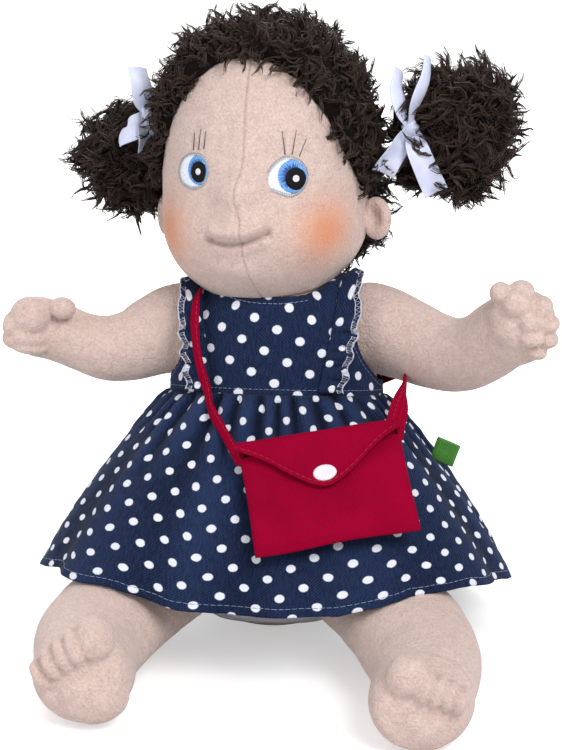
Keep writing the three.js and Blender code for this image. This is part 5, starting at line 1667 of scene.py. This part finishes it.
@dataclass(frozen=True)
class Bodice:
    """The denim bodice: a front and two backs, with frills, topstitching and closing tapes."""

    thick: float = 1.0
    off: float = 1.5
    side_seam: float = 17.0
    armhole: tuple[float, float, float, float] = (17.0, 130.0, 20.0, 22.0)
    neckline: Triple = (19.0, 27.0, 27.5)
    top: float = 151.0
    shoulder: float = 33.0
    frill_low: float = 20.0
    frill_high: float = 29.0
    frill_wide: float = 10.5
    frill_span: Pair = (105.5, 149.0)
    frill_cloth: Pair = (0.0115, 0.05)
    front_cloth: Pair = (0.14, 0.046)
    back_cloth: Pair = (0.072, 0.046)
    tape: Pair = (8.0, 26.0)

    def hole(self, points: Points) -> Points:
        """How far points are from the armholes' rims, as a share, below 1 inside."""
        y, z, deep, tall = self.armhole
        share = np.hypot((points[:, 1] - y) / deep, (points[:, 2] - z) / tall)
        return np.where(np.abs(points[:, 0]) > self.shoulder, share, 9)

    def neck(self, points: Points) -> Points:
        """How far points are from the neckline, as a share, below 1 inside."""
        y, wide, deep = self.neckline
        share = np.hypot(points[:, 0] / wide, (points[:, 1] - y) / deep)
        return np.where(points[:, 2] > 138, share, 9)

    def raised(self, points: Points, along: Points) -> Points:
        """Lift the shoulders' cloth over the roots of the arms."""
        rise = 7.0 * bell(points[:, 0], 31, 9) + 3.5 * bell(points[:, 0], -36, 6)
        return points + stacked(0, 0, rise * smooth(134, 148, along))

    def snapped(self, piece: Piece) -> None:
        """Draw the cut edges onto the rims of the armholes and the neckline."""
        y, z, _, _ = self.armhole
        back, _, _ = self.neckline
        with opened(piece.data) as form:
            for vertex in [v for v in form.verts if v.is_boundary]:
                point = np.array(vertex.co)[None, :] / MM
                hole, neck = float(self.hole(point)[0]), float(self.neck(point)[0])
                if hole < 1.12:
                    vertex.co.y = (y + (point[0, 1] - y) / hole) * MM
                    vertex.co.z = (z + (point[0, 2] - z) / hole) * MM
                elif neck < 1.12:
                    vertex.co.x = point[0, 0] / neck * MM
                    vertex.co.y = (back + (point[0, 1] - back) / neck) * MM

    def seam_angle(self, along: Points) -> Points:
        """The side seam's angle below the body's side, where y is the seam's."""
        lean = math.radians(TRUNK.lean)
        depth = (self.side_seam - TRUNK.base[1] - along * math.sin(lean)) / math.cos(lean)
        deep = TRUNK.half_sizes(along)[1] + self.off
        return np.arcsin(np.clip(depth / deep, -0.95, 0.95))

    def panel(self, name: str, node: str, start: float, stop: float, columns: int) -> None:
        """Make one panel of the bodice.

        Args:
            name: the piece's name.
            node: the node that it stands for.
            start: share round its own half where it starts, 0 at the doll's left seam.
            stop: share where it stops, 1 at the right seam.
            columns: faces across.
        """
        back = node != "bodice_front"
        half = math.pi if back else -math.pi

        def lay(across: Points, along: Points) -> tuple[Points, Points]:
            """Angle round the trunk and height along it."""
            height = mixed(TRUNK.waist - 0.6, self.top, along)
            seam = self.seam_angle(height)
            return mixed(seam, half - seam, mixed(start, stop, across)), height

        def shape(across: Points, along: Points) -> Points:
            """The panel's inner face."""
            angle, height = lay(across, along)
            lift = self.off + 0.3 * uneven(TRUNK.dress(angle, height, 0), 17, 9) * smooth(0.05, 0.3, along)
            return self.raised(TRUNK.dress(angle, height, lift), height)

        def cloth(across: Points, along: Points) -> Points:
            """The place on the flat cloth in metres."""
            angle, height = lay(across, along)
            return stacked(angle * 0.043, height * MM * 1.02)

        def cut(points: Points) -> Points:
            """Whether points are in an armhole or in the neckline."""
            return (self.hole(points) < 1) | (self.neck(points) < 1)

        piece = mapped(name, columns, 90, shape, cloth, cut=cut)
        self.snapped(piece)
        walled(piece, self.thick, 1)
        dressed(piece, DENIM, "root", [node])

    def armhole_rim(self, side: int, grow: float) -> Points:
        """A path along an armhole, kept off its rim by a distance.

        Args:
            side: the sign of x on the armhole's side.
            grow: the distance.

        Returns:
            The points in millimetres.
        """
        spin, lean = np.linspace(0, TURN, 260), math.radians(TRUNK.lean)
        y, z, deep, tall = self.armhole
        behind = y + (deep + grow) * np.cos(spin) - TRUNK.base[1]
        up = z + (tall + grow) * np.sin(spin) - TRUNK.base[2]
        along = up * math.cos(lean) + behind * math.sin(lean)
        depth = behind * math.cos(lean) - up * math.sin(lean)
        wide, deep_half = TRUNK.half_sizes(np.clip(along, TRUNK.waist, TRUNK.length - 0.3))
        off = self.off + self.thick + 0.1
        x = (wide + off) * np.sqrt(np.clip(1 - (depth / (deep_half + off)) ** 2, 0, 1))
        good = (along > TRUNK.waist + 1) & (along < TRUNK.length - 4) & (x > self.shoulder)
        return TRUNK.place(side * x, depth, along)[good]

    def neck_rim(self, grow: float) -> Points:
        """A path along the neckline, kept off it by a distance."""
        y, wide, deep = self.neckline
        lean = math.radians(TRUNK.lean)
        heights = np.linspace(125, self.top, 120)
        half_wide, half_deep = TRUNK.half_sizes(heights)
        off = self.off + self.thick + 0.1
        rows = []
        for turn in np.linspace(0, TURN, 260):
            x, back = (wide + grow) * math.cos(turn), y + (deep + grow) * math.sin(turn)
            depth = (back - TRUNK.base[1] - heights * math.sin(lean)) / math.cos(lean)
            inside = np.flatnonzero(np.hypot(x / (half_wide + off), depth / (half_deep + off)) <= 1)
            if len(inside):
                k = inside[-1]
                rows.append(TRUNK.place(np.array([x]), depth[k : k + 1], heights[k : k + 1])[0])
        return np.array(rows)

    def frill_at(self, side: int, across: Points, along: Points) -> Points:
        """A place on a frill.

        Args:
            side: the sign of x on the frill's side.
            across: share from its seam to its free edge.
            along: share from the waist up.

        Returns:
            The points in millimetres.
        """
        height = mixed(*self.frill_span, along)
        wide, deep = TRUNK.half_sizes(height)
        aside = 4.4 if side < 0 else 1.6
        seam = mixed(self.frill_low, self.frill_high, along) + aside * (1 - 0.55 * along)
        edge = np.maximum(0.02, 1 - ((seam + self.frill_wide) / (wide + 1)) ** 2)
        begin = -(deep + 1.7) * np.sqrt(np.maximum(0.02, 1 - (seam / (wide + 1.7)) ** 2)) - 1.7
        end = np.minimum(-(deep + 1.7) * np.sqrt(edge) - 0.8, begin + 1.0)
        wave = (1.5 * np.sin(along * TURN * 6.3 + 0.6) + 0.6 * np.sin(along * TURN * 15)) * across
        puff = 0.9 * bell(across, 0.3, 0.2) * (0.6 + 0.4 * np.sin(along * TURN * 12))
        x = seam + across * self.frill_wide * (1 - 0.08 * np.sin(along * TURN * 5))
        lying = TRUNK.place(side * x, mixed(begin, end, across**1.3) - 0.9 * across - wave - puff, height)
        lift = math.radians(34) * smooth(0.55, 1.0, along)
        out = across * self.frill_wide * (1 - 0.35 * smooth(0.93, 1, along))
        aside = side * (out * np.cos(lift) - wave * np.sin(lift))
        standing = self.raised(TRUNK.place(side * seam, begin, height), height)
        standing = standing + stacked(aside, -puff - wave * np.cos(lift), out * np.sin(lift))
        return mixed(lying, standing, smooth(0.5, 0.85, along)[:, None])

    def frills(self) -> None:
        """Make both frills with their overlocked edges."""
        for side in Side:
            at = partial(self.frill_at, side.value)
            piece = mapped(f"frill_{side.word}_cloth", 20, 150, at, laid(0.0125, 0.058))
            walled(piece, 0.7, 0)
            dressed(piece, DENIM, "root", [f"frill_{side.word}"])
            steps = np.arange(0, 1, 0.011)
            zigzag = at(np.where(np.arange(len(steps)) % 2, 1.02, 0.8), steps) - (0, 0.5, 0)
            fine = np.linspace(0, 1, 200)
            rim, inner = (at(np.full(200, share), fine) - (0, 0.45, 0) for share in (1.03, 0.8))
            edging = threads(f"frill_{side.word}_overlock", [(zigzag, 0.2), (rim, 0.3), (inner, 0.2)])
            dressed(edging, OVERLOCK, "root")

    def stitching(self) -> None:
        """Make the topstitching round the neckline, the armholes and the waist."""
        runs = dashes(self.neck_rim(3.2) - (0, 0.45, 0), 1.8, 0.5, 0.17)
        for side in Side:
            runs += dashes(self.armhole_rim(side.value, 2.4), 1.8, 0.5, 0.13)
        spin = np.linspace(0, TURN, 500)
        waist = TRUNK.dress(spin, np.full(500, TRUNK.waist + 2.2), self.off + self.thick + 0.15)
        dressed(threads("bodice_stitches", runs + dashes(waist, 1.8, 0.5, 0.13)), DENIM_THREAD, "root")

    def tape_at(self, low: float, across: Points, along: Points) -> Points:
        """A place on a closing tape that lies a distance over the bodice's back."""
        wide_tape, long = self.tape
        height = 124.8 + long * (along - 0.5)
        wide, deep = TRUNK.half_sizes(height)
        off = self.off + self.thick
        x = 4.6 + wide_tape * (across - 0.5)
        return TRUNK.place(x, (deep + off) * np.sqrt(1 - (x / (wide + off)) ** 2) + low, height)

    def tapes(self) -> None:
        """Make the two closing tapes on the back."""
        for word, low in (("loop", 0.15), ("hook", 1.35)):
            cloth = laid(self.tape[0] * MM, self.tape[1] * MM)
            piece = mapped(f"{word}_tape", 12, 36, partial(self.tape_at, low), cloth)
            walled(piece, 0.8, 1)
            with_modifier(piece, "BEVEL", width=0.00025, segments=2, limit_method="ANGLE")
            dressed(piece, TAPE, "root", [f"closure_{word}_tape"])

    def build(self) -> None:
        """Make the whole bodice."""
        self.panel("bodice_front_cloth", "bodice_front", 0.0, 1.0, 210)
        self.panel("bodice_back_left_cloth", "bodice_back_left", 0.0, 0.498, 100)
        self.panel("bodice_back_right_cloth", "bodice_back_right", 0.502, 1.0, 100)
        self.frills()
        self.stitching()
        self.tapes()


STRAP_ROUTE = (
    (-108, 91, 0.8), (-114, 97.5, 1.4), (-119.5, 104, 2.6), (-123, 112, 4.4), (-125.5, 121, 5.4),
    (-127, 131, 6), (-128.5, 139, 6.4), (-131.5, 143, 6), (-138, 146.3, 5), (-156, 148.6, 2.6),
    (178, 149, 1.2), (160, 147.2, 1.4), (145, 144, 3.2), (132, 139, 3.6), (119, 132.5, 1.8),
    (105, 125.5, 1.8), (90, 119, 2.8), (75, 113, 3), (60, 107, 3), (45, 104.2, 2.8),
)  # fmt: skip


STRAP_FRONT = (
    (46, 24, 106), (53, 12, 112), (57.5, -4, 115.8), (58, -18, 114), (56.8, -30, 109.5),
)  # fmt: skip


@dataclass(frozen=True)
class Bag:
    """The crimson shoulder bag: a pouch, a pointed flap with a stitched dot, and its strap."""

    width: float = 71.0
    height: float = 50.0
    mouth: float = 8.4
    belly: float = 9.6
    wall: float = 1.0
    lip: float = 4.0
    top: Triple = (25.0, -48.5, 101.0)
    slope: float = 40.0
    roll: float = 9.5
    flap_front: float = -8.1
    flap_edge: float = 5.0
    flap_thick: float = 1.2
    strap_wide: float = 6.0
    strap_thick: float = 1.5
    pouch_cloth: Pair = (0.15, 0.052)
    flap_cloth: Pair = (0.072, 0.04)
    flap_area: float = 0.0022
    patch_size: Pair = (9.0, 6.0)

    @property
    def flap_half(self) -> float:
        """Half the flap's width."""
        return self.width / 2 + 0.4

    def world(self, points: Points) -> Points:
        """Points of the bag's frame in the model's frame."""
        turn = turned("X", -self.slope) @ turned("Y", -self.roll)
        s, h = points[:, 0] / self.width + 0.5, np.clip(-points[:, 2] / self.height, 0, 1)
        aside = mixed(mixed(1.2, -3.2, s), mixed(3.8, 0.3, s), h)
        rise = mixed(mixed(-3.6, -1.0, s), mixed(0.0, 3.8, s), h)
        return (points + stacked(aside, 0, rise)) @ turn.T + self.top

    def pouch(self, across: Points, along: Points) -> Points:
        """The pouch's outer face from its bottom seam to its mouth."""
        face = np.where(across < 0.5, 1, -1)
        share = np.cos(np.where(across < 0.5, across, across - 0.5) * TURN) * face
        low = np.array([0, 0.015, 0.07, 0.25, 0.55, 0.8, 1])
        thick = np.interp(along, low, [0.0, 2.0, 6.0, self.belly, self.belly, self.belly * 0.97, self.mouth])
        sin = face * (1 - np.abs(share) ** 4.4) ** 0.38
        top = -self.lip * smooth(0.05, 0.5, -sin)
        z = mixed(-self.height, top, along)
        x = share * self.width / 2 * (1 - 0.012 * bell(along, 0.5, 0.35))
        y = sin * thick / 2
        points = stacked(x, y, z)
        soft = uneven(points, 24, 14) * 0.6 + uneven(points, 10, 15) * 0.14
        points[:, 1] += soft * np.sign(sin) * smooth(0, 0.3, np.abs(sin)) * smooth(0.02, 0.15, along)
        points[:, 2] += 0.5 * np.sin(x * 0.11 + 1) * (1 - along)
        return self.world(points)

    def drop(self, x: Points) -> Points:
        """How far the flap hangs down at a place across it."""
        edge = (self.flap_half - np.hypot(x, 3.2)) / self.flap_half
        return self.flap_edge - 0.5 + 24.5 * edge - 1.1 * np.sin(edge * TURN)

    def flap_at(self, x: Points, along: Points) -> Points:
        """A place on the flap: over the mouth from the back edge, then down the front.

        Args:
            x: across the bag.
            along: share of the way from the back edge to the front one.

        Returns:
            The points in millimetres.
        """
        roof, bend = self.belly / 2 - self.flap_front, 2.4
        arc = bend * math.pi / 2
        reach = along * (roof - bend + arc + self.drop(x) - bend)
        flat, curved = roof - bend, roof - bend + arc
        spin = np.clip((reach - flat) / bend, 0, math.pi / 2)
        down = np.maximum(reach - curved, 0)
        y = self.belly / 2 - np.minimum(reach, flat) - bend * np.sin(spin)
        z = 1.7 - bend + bend * np.cos(spin) - down
        hug = 0.9 * smooth(3, 16, down) * bell(x, 0, 30)
        points = stacked(x, y + hug * 0.5, z)
        points[:, 1] += 0.28 * uneven(points, 15, 16) * smooth(0.2, 0.5, along)
        return points

    def flap(self, across: Points, along: Points) -> Points:
        """The flap's outer face, thicker where its edges are folded."""
        half = self.flap_half
        x = (2 * across - 1) * half
        edge = np.minimum((1 - along) * 30, np.minimum(across, 1 - across) * 2 * half)
        points = self.flap_at(x, along)
        points[:, 1] -= 0.35 * (1 - smooth(2.2, 3.4, edge)) * smooth(0.35, 0.5, along)
        return self.world(points)

    def dot(self, across: Points, along: Points) -> Points:
        """The oval dot on the flap, top and underside in one."""
        out, spin = from_middle(along), across * TURN
        x, z = 5.2 * out * np.cos(spin), 3.9 * out * np.sin(spin) - 19.5
        top = 0.9 * np.sqrt(np.clip(1 - out**3, 0, 1)) + 0.06 * np.sin(x * 9)
        lift = np.where(along < TOP_SHARE, top, -0.2)
        return self.world(stacked(x, self.flap_front + 0.1 - lift, z))

    def strap_path(self) -> tuple[Points, Points, Points]:
        """The strap's middle line, the direction across it and the one off the doll."""
        rows = []
        for angle, along, extra in STRAP_ROUTE:
            spin, off = np.array([math.radians(angle)]), 1.7 + extra
            if along < TRUNK.waist:
                rows.append(SKIRT.at(spin, np.array([(TRUNK.waist - along) / 98]), off + 1.2)[0])
            else:
                rows.append(TRUNK.dress(spin, np.array([float(along)]), 1.4 + off)[0])
        side = np.array([-self.width / 2 + 0.8, self.width / 2 - 4.4])
        ends = self.world(stacked(side, -0.5, -6.0))
        path = curve_through([ends[0], *rows, *STRAP_FRONT, ends[1]], STRAP_STEPS)
        weights = np.hanning(17) / np.hanning(17).sum()
        padded = [np.pad(column, 8, "edge") for column in path.T]
        calm = np.column_stack([np.convolve(column, weights, "valid") for column in padded])
        steps = np.arange(STRAP_STEPS)
        path = mixed(path, calm, smooth(0, 10, np.minimum(steps, steps[::-1]))[:, None])
        way = along_path(path)
        height = np.clip((path[:, 2] - TRUNK.base[2]) / math.cos(math.radians(TRUNK.lean)), 0, 118)
        out = path - TRUNK.place(0 * height, 0 * height, height)
        out = unit(out - way * (out * way).sum(axis=1)[:, None])
        flat = np.cross(way, out)
        twist = math.radians(50) * smooth(0.88, 0.96, np.linspace(0, 1, STRAP_STEPS))[:, None]
        return path, flat * np.cos(twist) - out * np.sin(twist), out * np.cos(twist) + flat * np.sin(twist)

    def strap(self, across: Points, along: Points) -> Points:
        """The strap as a soft flat tube with closed ends."""
        place, steps = along * (STRAP_STEPS - 1), np.arange(STRAP_STEPS)
        middle, wide, off = (read_at(place, steps, rows) for rows in self.strap_path())
        spin = across * TURN
        end = np.clip(np.minimum(along, 1 - along) / 0.006, 0, 1)
        half = self.strap_wide / 2 * (0.86 + 0.6 * smooth(0.88, 0.96, along)) * np.sqrt(end)
        cos, sin = np.cos(spin), np.sin(spin)
        w = np.sign(cos) * np.abs(cos) ** 0.6 * half
        n = np.sign(sin) * np.abs(sin) ** 0.7 * self.strap_thick / 2 * np.sqrt(end)
        w = w * (1 + 0.05 * np.sin(along * 90))
        n = n - 0.25 * bell(np.abs(w), half.max() * 0.55, 0.5) * np.sign(sin)
        return middle + wide * w[:, None] + off * n[:, None]

    def stitches(self) -> tuple[Piece, Piece]:
        """The topstitching along the flap's folded edge and down the strap."""
        x = np.linspace(-self.flap_half + 1.8, self.flap_half - 1.8, 300)
        along = 1 - 1.9 / (15 + self.drop(x))
        edge = self.flap_at(x, along)
        edge[:, 1] -= 0.42
        flap = threads("flap_stitches", dashes(self.world(edge), 2.0, 0.8, 0.16))
        path, flat, out = self.strap_path()
        line = path + flat * 1.7 + out * (self.strap_thick / 2 - 0.05)
        strap = threads("strap_stitches", dashes(line[3:-3], 2.0, 0.8, 0.14))
        return flap, strap

    def patch_at(self, back: float, across: Points, along: Points) -> Points:
        """A place on a closing patch that lies a distance before the pouch."""
        wide, tall = self.patch_size
        x, z = wide * (across - 0.5), tall * (along - 0.5) - 18
        return self.world(stacked(x, -self.belly / 2 - back, z))

    def patch(self, word: str, body: str, back: float) -> None:
        """Make one of the two small closing patches under the flap.

        Args:
            word: loop or hook.
            body: the body that it rides on.
            back: how far before the pouch it lies.
        """
        cloth = laid(self.patch_size[0] * MM, self.patch_size[1] * MM)
        piece = mapped(f"{word}_patch", 18, 12, partial(self.patch_at, back), cloth)
        walled(piece, 0.45, 1)
        dressed(piece, CRIMSON, body, [f"bag_{word}_patch"])

    def build(self) -> None:
        """Make the bag and its strap."""
        pouch = mapped("pouch", 240, 70, self.pouch, laid(0.16, 0.05))
        walled(pouch, self.wall, -1)
        dressed(pouch, CRIMSON, "bag", ["bag_pouch"])
        flap = mapped("flap", 150, 90, self.flap, laid(*self.flap_cloth))
        walled(flap, self.flap_thick, -1)
        with_modifier(flap, "BEVEL", width=0.0003, segments=2, limit_method="ANGLE")
        dressed(flap, CRIMSON, "flap", ["bag_flap"])
        dot = mapped("flap_dot", 90, 20, self.dot)
        dressed(dot, FELT, "flap", ["bag_dot"])
        strap = mapped("bag_strap_cloth", 20, 420, self.strap, laid(0.014, 0.42))
        dressed(strap, CRIMSON, "root", ["bag_strap"])
        flap_line, strap_line = self.stitches()
        dressed(flap_line, CRIMSON_THREAD, "flap")
        dressed(strap_line, CRIMSON_THREAD, "root")
        self.patch("loop", "bag", 0.2)
        self.patch("hook", "flap", 1.0)


@dataclass(frozen=True)
class Inside:
    """The stuffing that no one sees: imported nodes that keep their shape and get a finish."""

    fillings: tuple[str, ...] = ("head_filling", "neck_filling", "body_filling")

    def build(self) -> None:
        """Give the nodes their finishes."""
        for names, finish in ((self.fillings, FILLING), (("pellet_pouch",), PELLETS)):
            for name in names:
                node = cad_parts[name]
                node.data.materials.clear()
                node.data.materials.append(finish.material())


@dataclass(frozen=True)
class Studio:
    """A pale floor, soft lamps and the photograph's camera."""

    aim: Triple = (0.0036, 0.0, 0.113)
    azimuth: float = 6.0
    elevation: float = 15.0
    distance: float = 0.85
    lens: float = 93.79

    def camera(self) -> None:
        """Make the camera."""
        lens = bpy.data.cameras.new("Camera")
        lens.sensor_width = 36
        lens.lens = self.lens
        lens.clip_start, lens.clip_end = 0.01, 50
        camera = linked("Camera", lens)
        turn, rise = math.radians(self.azimuth), math.radians(self.elevation)
        back = Vector((math.sin(turn) * math.cos(rise), -math.cos(turn) * math.cos(rise), math.sin(rise)))
        camera.location = Vector(self.aim) + back * self.distance
        camera.rotation_euler = (-back).to_track_quat("-Z", "Y").to_euler()
        bpy.context.scene.camera = camera

    def lamp(self, name: str, place: Triple, size: float, power: float) -> None:
        """Make one soft lamp that faces the doll."""
        light = bpy.data.lights.new(name, "AREA")
        light.shape = "DISK"
        light.size, light.energy = size, power
        lamp = linked(name, light)
        lamp.location = place
        lamp.rotation_euler = (Vector(self.aim) - Vector(place)).to_track_quat("-Z", "Y").to_euler()

    def floor(self) -> None:
        """Make the pale floor, which keeps the shadow and glows for the camera, more strongly away from the
        doll, so that it shows white.
        """
        form = bmesh.new()
        bmesh.ops.create_grid(form, x_segments=8, y_segments=8, size=6)
        bmesh.ops.translate(form, verts=form.verts, vec=(0, 0, -0.0004))
        mesh = bpy.data.meshes.new("floor")
        form.to_mesh(mesh)
        form.free()
        material = bpy.data.materials.new("Floor")
        material.use_nodes = True
        wiring = Wiring(material.node_tree)
        shader = material.node_tree.nodes["Principled BSDF"]
        shader.inputs["Base Color"].default_value = (0.84, 0.84, 0.85, 1)
        shader.inputs["Roughness"].default_value = 1
        shader.inputs["Specular IOR Level"].default_value = 0
        seen = wiring.add("LightPath").outputs["Is Camera Ray"]
        away = wiring.add("VectorMath", {0: wiring.object_place()}, operation="LENGTH").outputs[1]
        strength = wiring.sum("MULTIPLY", seen, wiring.ranged(away, 0.22, 0.6, 0.46, 1.0))
        glow = wiring.add("Emission", {"Color": (1, 1, 1, 1), "Strength": strength})
        both = wiring.add("AddShader", {0: shader.outputs[0], 1: glow.outputs[0]})
        output = material.node_tree.nodes["Material Output"]
        material.node_tree.links.new(both.outputs[0], output.inputs["Surface"])
        mesh.materials.append(material)
        linked("floor", mesh)

    def world(self) -> None:
        """Make the even light all round, seen as white by the camera."""
        world = bpy.data.worlds.new("World")
        bpy.context.scene.world = world
        world.use_nodes = True
        wiring = Wiring(world.node_tree)
        path = wiring.add("LightPath")
        seen = wiring.sum("MAXIMUM", path.outputs["Is Camera Ray"], path.outputs["Is Glossy Ray"])
        seen = wiring.sum("MAXIMUM", seen, path.outputs["Is Transmission Ray"])
        background = world.node_tree.nodes["Background"]
        background.inputs["Color"].default_value = (1, 1, 1, 1)
        strength = wiring.ranged(seen, 0.0, 1.0, 0.5, 1.0)
        world.node_tree.links.new(strength, background.inputs["Strength"])

    def build(self) -> None:
        """Set the studio up."""
        bpy.context.scene.view_settings.view_transform = "Standard"
        self.camera()
        self.lamp("Key", (0.7, -1.0, 1.15), 0.8, 17)
        self.lamp("Fill", (-1.1, -0.9, 0.5), 0.9, 5)
        self.lamp("Back", (-0.4, 0.9, 1.1), 0.7, 9)
        self.floor()
        self.world()


def main() -> None:
    """Build every piece in order."""
    logging.basicConfig(level=logging.INFO, format="%(name)s %(message)s")
    Studio().build()
    Inside().build()
    Trunk().build()
    Neck().build()
    for limb in (ARM_RIGHT, ARM_LEFT, LEG_RIGHT, LEG_LEFT):
        limb.build()
    Face().build()
    for eye in EYES:
        eye.build()
    for side in Side:
        Ear(side).build()
    Wig().build()
    for bunch in BUNCHES:
        bunch.build()
    SKIRT.build()
    Bodice().build()
    Bag().build()


if __name__ == "__main__":
    main()
